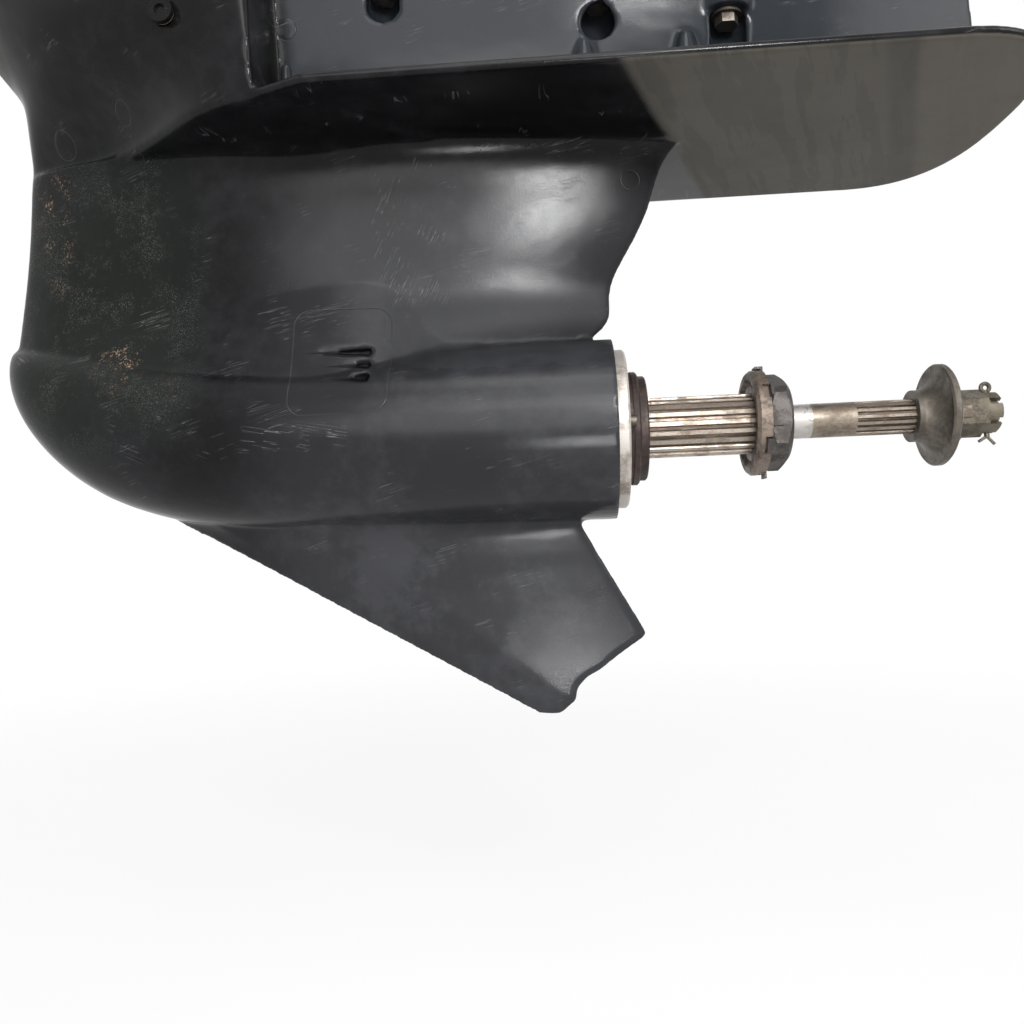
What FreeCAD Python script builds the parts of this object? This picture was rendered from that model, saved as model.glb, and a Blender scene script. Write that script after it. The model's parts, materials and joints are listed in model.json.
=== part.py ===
# Outboard lower unit with two counter-rotating propeller shafts, in millimetres.
# +X points aft, +Z up. The origin is on the top mating face, on the drive-shaft axis.
import FreeCAD
import Part
import math
import os

Vec = FreeCAD.Vector

# Main sizes of the gearcase
axis_depth = 335.0          # mating face down to the propeller axis
rim_x = 230.0               # rear rim of the torpedo
torpedo_r = 67.0
nose_x = -235.5             # foremost point
skeg_depth = 212.5          # skeg tip below the propeller axis
fairing_low = 15.0          # the strut's swelling runs into the torpedo at this height
fairing_top = 150.0         # and out of the flat flank at this one
fairing_sink = 4.5          # how far its foot lies inside the torpedo
fairing_slim = 24.0         # half width at its top, inside the strut
fairing_full_x = 30.0       # from here aft it gets narrower
fairing_end_x = 210.0
barrel_overlap = 3.0        # how far the barrel's cylinder runs into the nose
plate_height = 214.0        # underside of the plate over the propeller axis
plate_thickness = 7.0
plate_half_width = 121.0
plate_end_x = 526.0
plate_corner_length = 86.0
plate_shoulder_x = 34.0     # the plate has its full width from here aft
wall = 8.0
body_end_x = 505.0
body_half_width = 60.0      # upper body behind the step
front_half_width = 114.0    # upper body ahead of the step
step_x = 0.0
strut_half_width = 41.0
clearance = 0.05            # between parts that fit into each other
seat_gap = 0.03             # between parts that are clamped face to face

# Bevel gears
pinion_teeth = 13
gear_teeth = 27
module = 3.6
face_width = 16.0
pressure_angle = math.radians(25.0)
backlash = 0.34
gear_back = 12.0            # blank behind the tooth roots

# Shafts
inner_r = 12.7
inner_seat_r = 16.0
inner_end_x = 509.0
outer_r = 22.5
outer_bore_r = 14.9
outer_end_x = 357.0
drive_r = 14.0
drive_seat_r = 12.0
drive_journal_r = 15.0
drive_top = 235.0           # shaft end above the mating face
drive_spline_length = 45.0
outer_splines = 20
spline_height = 1.9         # of the outer shaft's splines
inner_splines = 16
drive_splines = 14

# Tapered bearings: width and the two radii of each
bearing_width = 25.0
front_cup_r = 36.0
rear_cup_r = 50.0
upper_cup_r = 33.0
cone_race = 4.0             # cone thickness at its small end
cup_race = 6.5              # cup thickness at its small end
race_taper = 2.2
cup_short = 3.0             # the cup is this much shorter than the cone

# Carrier
carrier_flange_r = 59.0
carrier_flange_length = 16.5
carrier_proud = 8.5         # how far the flange stands behind the rim
carrier_tube_r = 38.0
carrier_bore_r = 31.0
carrier_pilot_r = 57.0
carrier_pilot_length = 42.0
carrier_windows = 6
o_ring_r = 1.6

# Propeller hardware
front_hub_r = 42.3
front_hub_step_r = 39.0
front_hub_length = 14.0
thrust_ring_r = 38.8
thrust_ring_length = 10.3
outer_spline_length = 76.0
tab_thickness = 1.6
big_nut_r = 36.0
big_nut_length = 15.5
rear_hub_collar_r = 19.0
rear_hub_r = 37.2
rear_hub_length = 28.0
rear_hub_rim = 6.0
rear_boss_length = 6.0      # boss behind the rim, under the washer
rear_boss_r = 21.0
rear_spline_length = 42.0
rear_washer_r = 23.5
castle_nut_r = 17.6
castle_nut_length = 31.0
inner_thread_r = 11.0
front_thread_r = 13.0       # thread ahead of the front bearing
pinion_thread_r = 10.5
cotter_r = 1.9
cotter_leg_r = 1.1

# Top hardware
stud_r = 5.0
shank_r = 5.3               # fitted part of a stud, inside the casting
stud_head_r = 8.2
stud_head_height = 8.0
stud_proud = 32.0
front_stud_x = 78.0
front_stud_y = 50.0
aft_stud_x = 272.0
aft_stud_spacing = 90.0
aft_stud_y = 42.0
pump_r = 47.0
pump_height = 46.0
pump_bolt_circle_r = 53.0
pump_bolt_r = 3.0
impeller_r = 34.0
impeller_vanes = 6
impeller_height = 26.0
base_thickness = 1.6
gasket_thickness = 0.8

flat_share = math.cos(math.pi / 6.0)    # half width across flats of a hexagon, over its corner radius
axis_z = -axis_depth
apex = Vec(0.0, 0.0, axis_z)


def level(height):
    """Z of a height over the propeller axis."""
    return axis_z + height


def spin_x(profile):
    """Solid of revolution about the propeller axis from (x, radius) corners."""
    corners = [Vec(x, 0.0, axis_z + r) for x, r in profile]
    corners.append(corners[0])
    face = Part.Face(Part.makePolygon(corners))
    return face.revolve(apex, Vec(1.0, 0.0, 0.0), 360.0)


def spin_z(profile):
    """Solid of revolution about the drive axis from (radius, z) corners."""
    corners = [Vec(r, 0.0, z) for r, z in profile]
    corners.append(corners[0])
    face = Part.Face(Part.makePolygon(corners))
    return face.revolve(Vec(0.0, 0.0, 0.0), Vec(0.0, 0.0, 1.0), 360.0)


def ring_x(x0, x1, r_in, r_out):
    return spin_x([(x0, r_in), (x1, r_in), (x1, r_out), (x0, r_out)])


def ring_z(z0, z1, r_in, r_out):
    return spin_z([(r_in, z0), (r_out, z0), (r_out, z1), (r_in, z1)])


def rod_x(x0, x1, r, y=0.0, z=0.0):
    return Part.makeCylinder(r, x1 - x0, Vec(x0, y, axis_z + z), Vec(1.0, 0.0, 0.0))


def rod_z(z0, z1, r, x=0.0, y=0.0):
    return Part.makeCylinder(r, z1 - z0, Vec(x, y, z0))


def rod_y(y0, y1, r, x, z):
    return Part.makeCylinder(r, y1 - y0, Vec(x, y0, z), Vec(0.0, 1.0, 0.0))


def box(x0, x1, y0, y1, z0, z1):
    return Part.makeBox(x1 - x0, y1 - y0, z1 - z0, Vec(x0, y0, z0))


def prism(corners, direction):
    closed = corners + [corners[0]]
    return Part.Face(Part.makePolygon(closed)).extrude(direction)


def fuse(shapes):
    whole = shapes[0]
    for shape in shapes[1:]:
        whole = whole.fuse(shape)
    return whole


def toothed_outline(count, r_tip, r_root, land):
    """Corner list (angle, radius) of a splined section. land is the tip's share."""
    corners = []
    pitch = 2.0 * math.pi / count
    for i in range(count):
        start = i * pitch
        for share, r in ((-0.5 * land, r_tip), (0.5 * land, r_tip),
                         (0.5 * land + 0.14, r_root), (0.86 - 0.5 * land, r_root)):
            corners.append((start + share * pitch, r))
    return corners


def splined_x(x0, x1, count, r_tip, r_root, land=0.42):
    outline = toothed_outline(count, r_tip, r_root, land)
    corners = [Vec(x0, r * math.cos(a), axis_z + r * math.sin(a)) for a, r in outline]
    return prism(corners, Vec(x1 - x0, 0.0, 0.0))


def splined_z(z0, z1, count, r_tip, r_root, land=0.42):
    outline = toothed_outline(count, r_tip, r_root, land)
    corners = [Vec(r * math.cos(a), r * math.sin(a), z0) for a, r in outline]
    return prism(corners, Vec(0.0, 0.0, z1 - z0))


def hexagon(radius, turn=0.0):
    return [(turn + i * math.pi / 3.0, radius) for i in range(6)]


def hex_z(z0, z1, radius, x=0.0, y=0.0):
    corners = [Vec(x + r * math.cos(a), y + r * math.sin(a), z0) for a, r in hexagon(radius)]
    return prism(corners, Vec(0.0, 0.0, z1 - z0))


def hex_x(x0, x1, radius):
    """Hexagon bar along X with a corner at the top."""
    corners = []
    for angle, r in hexagon(radius, math.pi / 6.0):
        corners.append(Vec(x0, r * math.cos(angle), axis_z + r * math.sin(angle)))
    return prism(corners, Vec(x1 - x0, 0.0, 0.0))


def foil_wire(x_lead, x_trail, half_width, z, tail=2.0):
    """Closed foil section at height z. Thickness follows a sine-like formula."""
    steps = 7
    chord = x_trail - x_lead
    side = []
    for i in range(1, steps + 1):
        share = i / steps
        along = share ** 1.6
        swell = 2.6 * (0.2969 * math.sqrt(along) - 0.05 * along - 0.2469 * along ** 2.6)
        swell = min(1.0, swell * 2.05)
        side.append((x_lead + along * chord, max(tail, half_width * swell)))
    side[-1] = (x_trail, tail)
    upper = [Vec(x, y, z) for x, y in side]
    lower = [Vec(x, -y, z) for x, y in reversed(side)]
    skin = Part.BSplineCurve()
    skin.interpolate(lower + [Vec(x_lead, 0.0, z)] + upper)
    closing = Part.LineSegment(upper[-1], lower[0])
    return Part.Wire([skin.toShape(), closing.toShape()])


def loft(wires):
    return Part.makeLoft(wires, True, False)


def ellipse_wire(center, half, rise):
    """Upright ellipse across the propeller axis. Its larger radius has to come first."""
    tall = Vec(0.0, 0.0, rise)
    wide = Vec(0.0, half, 0.0)
    if rise < half:
        tall = Vec(0.0, 0.0, half + 0.001)
    return Part.Wire([Part.Ellipse(center + tall, center + wide, center).toShape()])


# Torpedo: upright sections from nose to rim, each (share of the nose, bottom, top, half width)
def torpedo():
    stations = [
        (0.012, 48.0, 82.0, 10.0),
        (0.060, 22.0, 84.0, 23.0),
        (0.160, -7.0, 84.0, 36.0),
        (0.300, -32.0, 80.0, 47.0),
        (0.480, -50.0, 74.0, 57.0),
        (0.720, -62.5, 69.0, 64.5),
        (1.000, -torpedo_r, torpedo_r, torpedo_r),
    ]
    wires = []
    for share, bottom, top, half in stations:
        center = Vec(nose_x * (1.0 - share), 0.0, level(0.5 * (top + bottom)))
        wires.append(ellipse_wire(center, half, 0.5 * (top - bottom)))
    barrel_start = 6.0
    wires.append(ellipse_wire(Vec(barrel_start, 0.0, axis_z), torpedo_r, torpedo_r))
    return loft(wires).fuse(rod_x(barrel_start - barrel_overlap, rim_x, torpedo_r))


# Strut: foil sections from inside the torpedo up to the plate
def strut(inset=0.0):
    """inset makes the same form smaller, for the hollow inside."""
    stations = [
        (20.0, -214.0, 226.0, 50.0),
        (80.0, -231.0, 227.5, 46.0),
        (101.0, -227.0, 231.0, strut_half_width),
        (136.0, -221.5, 247.0, 39.0),
        (170.0, -217.5, 264.0, 39.0),
        (195.0, -215.5, 273.0, strut_half_width),
        (206.0, -214.5, 280.0, 46.0),
        (plate_height + 1.0, -213.0, 288.0, 56.0),
    ]
    wires = []
    for height, lead, trail, half in stations:
        wires.append(foil_wire(lead + inset, trail - inset, half - inset, level(height)))
    return loft(wires)


def fairing_half(height):
    """Half width of the swelling between strut and torpedo at a height."""
    share = (fairing_top - height) / (fairing_top - fairing_low)
    return fairing_slim + (torpedo_r - fairing_sink - fairing_slim) * share ** 1.5


def fairing():
    """The strut widens smoothly down to the torpedo, less and less towards its tail."""
    tail = 1.0
    wires = []
    for height, x_front in ((fairing_low, -205.0), (45.0, -226.0), (75.0, -229.0), (105.0, -225.0),
                            (128.0, -221.0), (fairing_top, -218.5)):
        half = fairing_half(height)
        side = []
        for i in range(1, 8):
            share = (i / 7.0) ** 1.6
            side.append((x_front + share * (fairing_full_x - x_front),
                         half * math.sqrt(1.0 - (1.0 - share) ** 2.2)))
        for share in (0.2, 0.4, 0.6, 0.8, 1.0):
            ease = 0.5 + 0.5 * math.cos(math.pi * share)
            side.append((fairing_full_x + share * (fairing_end_x - fairing_full_x),
                         tail + (half - tail) * ease))
        wires.append(side_wire(x_front, side, level(height)))
    return loft(wires)


def skeg_lead(height):
    """X of the skeg's leading edge, a straight rake."""
    return 165.0 - 1.745 * (height + skeg_depth)


def skeg_section(height, half):
    """Six-cornered section: sharp front, flat flanks, narrow tail."""
    lead = skeg_lead(height)
    trail = 206.0 - 0.56 * (height + 76.0)
    chord = trail - lead
    z = level(height)
    side = [(lead + 0.10 * chord, 0.62 * half), (lead + 0.34 * chord, half), (trail, 0.3 * half)]
    corners = [Vec(lead, 0.0, z)] + [Vec(x, y, z) for x, y in side]
    corners += [Vec(x, -y, z) for x, y in reversed(side)]
    return Part.makePolygon(corners + [corners[0]])


def skeg():
    """Blade with a flared root, as (depth under the torpedo's bottom, half width)."""
    flare = ((-11.0, 30.0), (-1.0, 20.0), (9.0, 14.0), (22.0, 11.0), (50.0, 8.0))
    wires = [skeg_section(-torpedo_r - drop, half) for drop, half in flare]
    wires.append(skeg_section(-skeg_depth, 4.5))
    blade = Part.makeLoft(wires, True, True)
    # The rear lower corner is broken off along a ragged line.
    break_line = [(182.0, -215.0), (182.0, -212.6), (194.6, -202.0), (195.0, -194.0), (203.5, -185.0),
                  (212.0, -181.0), (236.0, -164.0), (247.0, -157.0), (249.5, -152.0), (330.0, -150.0),
                  (330.0, -215.0)]
    corners = [Vec(x, -30.0, level(z)) for x, z in break_line]
    return blade.cut(prism(corners, Vec(0.0, 60.0, 0.0)))


def plate_outline(z, inset=0.0):
    """Rounded tail with a superellipse, straight sides, open front inside the body."""
    start = plate_end_x - plate_corner_length
    half = plate_half_width - inset
    power = 2.6
    steps = 7
    tail = []
    for i in range(-steps, steps + 1):
        angle = 0.5 * math.pi * i / steps
        y = half * math.copysign(abs(math.sin(angle)) ** (2.0 / power), angle)
        x = start + (plate_corner_length - inset) * math.cos(angle) ** (2.0 / power)
        tail.append(Vec(x, y, z))
    curve = Part.BSplineCurve()
    curve.interpolate(tail)
    shoulder = plate_shoulder_x
    front = step_x - 12.0
    narrow = front_half_width - 11.0 - inset
    corners = [tail[-1], Vec(shoulder, half, z), Vec(front, narrow, z), Vec(front, -narrow, z),
               Vec(shoulder, -half, z), tail[0]]
    edges = [curve.toShape()]
    for a, b in zip(corners, corners[1:]):
        edges.append(Part.LineSegment(a, b).toShape())
    return Part.Wire(edges)


def plate():
    z0 = level(plate_height)
    z1 = z0 + plate_thickness
    edge = 2.2
    wires = [plate_outline(z0, edge), plate_outline(z0 + edge), plate_outline(z1 - edge),
             plate_outline(z1, edge)]
    return Part.makeLoft(wires, True, True)


def bow_side(x_front, narrow, spread, full, steps=8):
    """Points (x, y) of one side from nose to step: the strut's width, a spread, a full bow."""
    length = step_x - x_front
    points = []
    for i in range(1, steps + 1):
        share = (i / steps) ** 1.7
        ease = min(1.0, max(0.0, (share - 0.25) / 0.75))
        y = narrow * math.sqrt(share) + spread * (0.5 - 0.5 * math.cos(math.pi * ease))
        y += full * math.sqrt(1.0 - (1.0 - share) ** 2)
        points.append((x_front + share * length, y))
    return points


def side_wire(x_front, side, z):
    """Closed planform from one side's points, with a curved skin and a straight rear wall."""
    upper = [Vec(x, y, z) for x, y in side]
    lower = [Vec(x, -y, z) for x, y in reversed(side)]
    skin = Part.BSplineCurve()
    skin.interpolate(lower + [Vec(x_front, 0.0, z)] + upper)
    closing = Part.LineSegment(upper[-1], lower[0])
    return Part.Wire([skin.toShape(), closing.toShape()])


def front_body():
    """Upper body ahead of the step. Its lower part flares out of the strut."""
    stations = [
        (plate_height + 0.6, -213.4, 39.0, 68.0, 0.0),
        (228.0, -213.0, 38.0, 64.0, 8.0),
        (245.0, -212.4, 24.0, 40.0, 48.0),
        (264.0, -211.6, 10.0, 12.0, 91.0),
        (284.0, -224.0, 4.0, 0.0, 110.0),
        (305.0, -240.0, 0.0, 0.0, front_half_width),
        (axis_depth, -266.0, 0.0, 0.0, front_half_width),
    ]
    wires = []
    for height, x_front, narrow, spread, full in stations:
        wires.append(side_wire(x_front, bow_side(x_front, narrow, spread, full), level(height)))
    return loft(wires)


def cove():
    """Flare of the strut's flank out to the underside of the plate, fading out aft."""
    reach = 150.0
    inner_half = 22.0
    wires = []
    for drop, x_front, narrow, spread in ((17.0, -210.0, 29.0, 0.0), (10.0, -212.6, 35.0, 0.0),
                                          (5.0, -213.2, 40.0, 4.0), (2.0, -213.4, 41.0, 26.0),
                                          (-2.5, -213.4, 41.0, 66.0)):
        side = bow_side(x_front, narrow, spread, 0.0)
        half = narrow + spread
        for share in (0.3, 0.65, 1.0):
            ease = 0.5 + 0.5 * math.cos(math.pi * share)
            side.append((step_x + share * reach, inner_half + (half - inner_half) * ease))
        wires.append(side_wire(x_front, side, level(plate_height - drop)))
    return loft(wires)


def aft_wire(z, x_end, half, tail_half, start=-30.0):
    """Planform behind the step: parallel walls, then a long taper."""
    x_taper = 0.42 * x_end
    side = [(start, half), (x_taper, half * 0.95), (0.72 * x_end, 0.68 * half + 0.3 * tail_half),
            (x_end, tail_half)]
    edges = []
    ends = []
    for sign in (1.0, -1.0):
        curve = Part.BSplineCurve()
        points = [Vec(x, sign * y, z) for x, y in side]
        curve.interpolate(points)
        edges.append(curve.toShape())
        ends.append(points)
    nose_line = Part.LineSegment(ends[1][0], ends[0][0]).toShape()
    tail_line = Part.LineSegment(ends[0][-1], ends[1][-1]).toShape()
    return Part.Wire([edges[0], tail_line, edges[1], nose_line])


def aft_body():
    stations = [
        (plate_height + 1.0, body_end_x + 4.0, body_half_width + 6.0, 9.0),
        (plate_height + 14.0, body_end_x + 2.0, body_half_width, 8.0),
        (290.0, body_end_x - 5.0, body_half_width, 9.0),
        (axis_depth, body_end_x - 17.0, body_half_width + 6.0, 20.0),
    ]
    wires = [aft_wire(level(h), x, half, tail) for h, x, half, tail in stations]
    return loft(wires)


# Bolt places: x, y, pocket bottom and head seat, heights over the propeller axis
def stud_places():
    places = []
    for side in (-1.0, 1.0):
        places.append((-front_stud_x, side * front_stud_y, 282.0, 308.0))
        places.append((front_stud_x, side * front_stud_y, 292.0, 312.0))
        places.append((aft_stud_x - 0.5 * aft_stud_spacing, side * aft_stud_y, 272.0, 300.0))
        places.append((aft_stud_x + 0.5 * aft_stud_spacing, side * aft_stud_y, 254.0, 282.0))
    return places


pocket_r = 13.0
pocket_dish = 7.0           # depth of a pocket's dished floor
gear_hub_end = 59.0         # where each gear's hub meets its bearing
outer_start_x = 20.0
carrier_front_x = gear_hub_end - 2.0
carrier_rear_x = rim_x + carrier_proud
front_bearing_x = -gear_hub_end - bearing_width
chamber_front_x = -gear_hub_end + 2.0
chamber_r = carrier_pilot_r + clearance
front_nut_r = 21.0
front_nut_length = 16.0
front_well_r = 25.0
drive_bore_r = 20.0
pinion_relief_r = 31.0
needle_race_r = 24.0
needle_z0 = level(67.0)
needle_z1 = level(92.0)
shoulder_r = 18.0
upper_bearing_top = level(289.0)
upper_cup_floor = upper_bearing_top - bearing_width + cup_short
seal_z0 = level(301.0)
seal_housing_r = 40.0
exhaust_x0 = 104.0
exhaust_x1 = 196.0
exhaust_half_width = 30.0
exhaust_throat_x1 = 156.0
exhaust_throat = 16.0
inlet_x = 54.0
inlet_depth = 9.0           # depth of the inlet holes under the flank
inlet_reach = 80.0
drain_x = -40.0
drain_height = -38.0
level_plug_x = -57.0
level_plug_height = 271.0
plug_r = 5.0
plug_head_r = 8.0
dowel_r = 4.0
dowel_depth = 12.0
pump_hole_depth = 18.0
pump_seat_z = -3.0          # floor of the shallow recess that the pump stands in
pump_seat_r = pump_bolt_circle_r + 9.0


# Seats of the two oil screws, a little under the skin
drain_seat_y = math.sqrt(torpedo_r ** 2 - drain_height ** 2) - 4.0
level_seat_y = -front_half_width + 5.5


def housing():
    shell = fuse([torpedo(), strut(), fairing(), cove(), skeg(), plate(), front_body(), aft_body()])
    # Cast cones on both flanks and a lug on the plate
    extras = []
    for side in (-1.0, 1.0):
        for x, height in ((217.0, 266.0), (287.0, 267.0)):
            y = side * 0.86 * body_half_width
            z0 = level(plate_height + 2.0)
            extras.append(Part.makeCone(19.0, 4.0, level(height) - z0, Vec(x, y, z0)))
        extras.append(rod_z(level(plate_height + 2.0), level(252.0), 4.5, 12.0, side * 72.0))
        for x, y, low, seat in stud_places():
            if y * side > 0.0:
                extras.append(rod_z(level(seat), 0.0, pocket_r + 4.0, x, y))
    shell = fuse([shell] + extras)
    cuts = []
    # Torpedo bores
    cuts.append(rod_x(chamber_front_x, rim_x + 1.0, chamber_r))
    cuts.append(rod_x(rim_x - carrier_flange_length + carrier_proud, rim_x + 1.0,
                      carrier_flange_r + clearance))
    cuts.append(rod_x(front_bearing_x, chamber_front_x + 1.0, front_cup_r + clearance))
    cuts.append(rod_x(front_bearing_x - front_nut_length - 5.0, front_bearing_x + 1.0, front_well_r))
    # Vertical bore for the drive shaft, its bearings and seals
    cuts.append(rod_z(level(20.0), needle_z0, pinion_relief_r))
    cuts.append(rod_z(level(20.0), needle_z1, needle_race_r + clearance))
    cuts.append(rod_z(level(20.0), upper_bearing_top, drive_bore_r))
    cuts.append(rod_z(upper_cup_floor - 14.0, upper_bearing_top, upper_cup_r - 4.0))
    cuts.append(rod_z(upper_cup_floor, 1.0, upper_cup_r + clearance))
    cuts.append(rod_z(seal_z0, 1.0, seal_housing_r + clearance))
    cuts.append(rod_z(pump_seat_z, 1.0, pump_seat_r))
    for x, y in pump_bolt_places():
        cuts.append(rod_z(-pump_hole_depth, 1.0, pump_bolt_r + clearance, x, y))
    # Exhaust passage, a smaller copy of the strut
    window = box(exhaust_x0, exhaust_x1, -90.0, 90.0, level(40.0), level(plate_height - 6.0))
    cuts.append(strut(wall + 2.0).common(window))
    cuts.append(box(exhaust_x0, exhaust_throat_x1, -exhaust_throat, exhaust_throat,
                    level(plate_height - 10.0), level(plate_height + 14.0)))
    cuts.append(box(exhaust_x0 - 30.0, exhaust_x1, -exhaust_half_width, exhaust_half_width,
                    level(plate_height + 12.0), 1.0))
    for x, y, low, seat in stud_places():
        cuts.append(rod_z(level(low), level(seat), pocket_r, x, y))
        dish = Vec(x, y, level(low) - pocket_dish)
        cuts.append(Part.makeCone(0.55 * pocket_r, pocket_r, pocket_dish, dish))
        cuts.append(rod_z(level(seat) - 1.0, 1.0, shank_r + clearance, x, y))
    # Pockets open to the side wall
    for x, y, low, seat in stud_places():
        if x > 0.0:
            reach = math.copysign(40.0, y)
            cuts.append(Part.makeCylinder(pocket_r - 1.5, 40.0, Vec(x, y, level(low) + pocket_r * 0.4),
                                          Vec(0.0, math.copysign(1.0, reach), 0.0)))
    # Water inlets: three slots on each flank, each a pointed ramp that ends in a round hole
    for side in (-1.0, 1.0):
        for height, length, r in ((59.4, 54.0, 3.3), (49.7, 26.0, 3.1), (39.3, 19.0, 3.3)):
            surface = fairing_half(height)
            floor = side * (surface - inlet_depth)
            low, high = sorted((floor, side * inlet_reach))
            cuts.append(rod_y(low, high, r, inlet_x, level(height)))
            z = level(height)
            start_x = inlet_x - length
            ramp = prism([Vec(inlet_x, floor, z - r), Vec(inlet_x, side * inlet_reach, z - r),
                          Vec(start_x, side * inlet_reach, z - r), Vec(start_x, side * surface, z - r)],
                         Vec(0.0, 0.0, 2.0 * r))
            taper = prism([Vec(inlet_x, low, z - 0.7 * r), Vec(start_x, low, z - 0.15 * r),
                           Vec(start_x, low, z + 0.15 * r), Vec(inlet_x, low, z + 0.7 * r)],
                          Vec(0.0, high - low, 0.0))
            cuts.append(ramp.common(taper))
    # Oil plugs
    cuts.append(rod_y(30.0, 80.0, plug_r + clearance, drain_x, level(drain_height)))
    cuts.append(rod_y(drain_seat_y, 80.0, plug_head_r + 1.5, drain_x, level(drain_height)))
    cuts.append(rod_y(-140.0, level_seat_y + 24.0, plug_r + clearance, level_plug_x,
                      level(level_plug_height)))
    cuts.append(rod_y(-140.0, level_seat_y, plug_head_r + 1.5, level_plug_x, level(level_plug_height)))
    # Dowel holes
    for x, y in dowel_places():
        cuts.append(rod_z(-dowel_depth, 1.0, dowel_r + clearance, x, y))
    # Everything above the mating face goes.
    cuts.append(box(-320.0, 600.0, -200.0, 200.0, 0.0, 40.0))
    whole = shell
    for cutter in cuts:
        whole = whole.cut(cutter)
    return whole


def dowel_places():
    return [(-150.0, 0.0), (370.0, 0.0)]


def pump_bolt_places():
    reach = pump_bolt_circle_r * math.sqrt(0.5)
    return [(sx * reach, sy * reach) for sx in (-1.0, 1.0) for sy in (-1.0, 1.0)]


# Bevel teeth. Points are laid out on the back cone and drawn towards the apex.
gear_pitch_r = 0.5 * module * gear_teeth
pinion_pitch_r = 0.5 * module * pinion_teeth
cone_distance = math.hypot(gear_pitch_r, pinion_pitch_r)


def involute(angle):
    return math.tan(angle) - angle


def tooth_profile(teeth, mate, thin):
    """Right half of a tooth on the back cone: (half width, height over the pitch line)."""
    cone = math.atan2(teeth, mate)
    pitch = 0.5 * module * teeth / math.cos(cone)
    base = pitch * math.cos(pressure_angle)
    addendum = module
    dedendum = 1.22 * module
    half = math.pi * module / 4.0 - thin
    points = []
    for r in (pitch - 0.55 * module, pitch, pitch + 0.5 * addendum, pitch + addendum):
        r_used = max(r, base * 1.0005)
        tilt = math.acos(base / r_used)
        angle = half / pitch + involute(pressure_angle) - involute(tilt)
        points.append((r_used * math.sin(angle), r_used * math.cos(angle) - pitch))
    bottom_half = points[0][0] * (pitch - dedendum) / (pitch + points[0][1])
    return [(bottom_half, -dedendum - 0.9)] + points


def bevel_teeth(teeth, mate, turn):
    """Teeth about the +Z axis with the apex at the origin and the gear body at +Z."""
    cone = math.atan2(teeth, mate)
    along = (math.sin(cone), math.cos(cone))
    across = (math.cos(cone), -math.sin(cone))
    half = tooth_profile(teeth, mate, 0.25 * backlash)
    outline = [(w, h) for w, h in half] + [(-w, h) for w, h in reversed(half)]
    solids = []
    for i in range(teeth):
        spin = turn + 2.0 * math.pi * i / teeth
        rings = []
        for distance in (cone_distance, cone_distance - face_width):
            scale = distance / cone_distance
            ring = []
            for width, height in outline:
                radial = (cone_distance * along[0] + height * across[0]) * scale
                axial = (cone_distance * along[1] + height * across[1]) * scale
                side = width * scale
                ring.append(Vec(radial * math.cos(spin) - side * math.sin(spin),
                                radial * math.sin(spin) + side * math.cos(spin), axial))
            ring.append(ring[0])
            rings.append(Part.makePolygon(ring))
        solids.append(Part.makeLoft(rings, True, True))
    return solids


def bevel_gear(teeth, mate, bore_r, hub_r, hub_end, turn):
    """Gear about +Z with its apex at the origin."""
    cone = math.atan2(teeth, mate)
    dedendum = 1.22 * module
    inner = (cone_distance - face_width) / cone_distance
    root_r = cone_distance * math.sin(cone) - dedendum * math.cos(cone)
    root_z = cone_distance * math.cos(cone) + dedendum * math.sin(cone)
    back_r = root_r - 1.0
    profile = [(bore_r, root_z * inner), (root_r * inner, root_z * inner), (root_r, root_z),
               (back_r, root_z + 3.0)]
    if hub_r < back_r:
        profile += [(hub_r, root_z + 0.5 * gear_back), (hub_r, hub_end), (bore_r, hub_end)]
    else:
        profile += [(back_r, hub_end), (bore_r, hub_end)]
    corners = [Vec(r, 0.0, z) for r, z in profile]
    corners.append(corners[0])
    blank = Part.Face(Part.makePolygon(corners)).revolve(Vec(0, 0, 0), Vec(0, 0, 1), 360.0)
    return blank.multiFuse(bevel_teeth(teeth, mate, turn))


# Tapered roller bearing along local +Z, with its wide end at +Z
def bearing(bore_r, cup_r):
    cup_length = bearing_width - cup_short
    cone_0 = bore_r + cone_race
    cone_1 = cone_0 + race_taper
    cup_0 = cup_r - cup_race
    cup_1 = cup_0 + 1.6 * race_taper
    start = 2.4
    end = bearing_width - 5.4
    rib_z = end + 1.8
    rib = cone_1 + 1.4
    inner = bore_r + 0.5 * clearance
    cup = turned([(cup_0, 0.0), (cup_r, 0.0), (cup_r, cup_length), (cup_1, cup_length)])
    cone = turned([(inner, 0.0), (cone_0, 0.0), (cone_1, rib_z), (rib, rib_z),
                   (rib, bearing_width), (inner, bearing_width)])
    share_0 = start / bearing_width
    share_1 = end / bearing_width
    inner_0 = cone_0 + race_taper * share_0 * bearing_width / rib_z
    inner_1 = cone_0 + race_taper * share_1 * bearing_width / rib_z
    outer_0 = cup_0 + (cup_1 - cup_0) * start / cup_length
    outer_1 = cup_0 + (cup_1 - cup_0) * end / cup_length
    mid_0 = 0.5 * (inner_0 + outer_0)
    mid_1 = 0.5 * (inner_1 + outer_1)
    length = math.hypot(end - start, mid_1 - mid_0)
    slant = (end - start) / length
    r_0 = 0.5 * (outer_0 - inner_0) * slant - 0.08
    r_1 = 0.5 * (outer_1 - inner_1) * slant - 0.08
    count = int(2.0 * math.pi * mid_0 / (2.0 * r_1 + 0.8))
    rollers = []
    for i in range(count):
        angle = 2.0 * math.pi * i / count
        spoke = Vec(math.cos(angle), math.sin(angle), 0.0)
        base = spoke * mid_0 + Vec(0.0, 0.0, start)
        tip = spoke * mid_1 + Vec(0.0, 0.0, end)
        rollers.append(Part.makeCone(r_0, r_1, length, base, tip - base))
    return cup, cone, Part.makeCompound(rollers)


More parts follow.
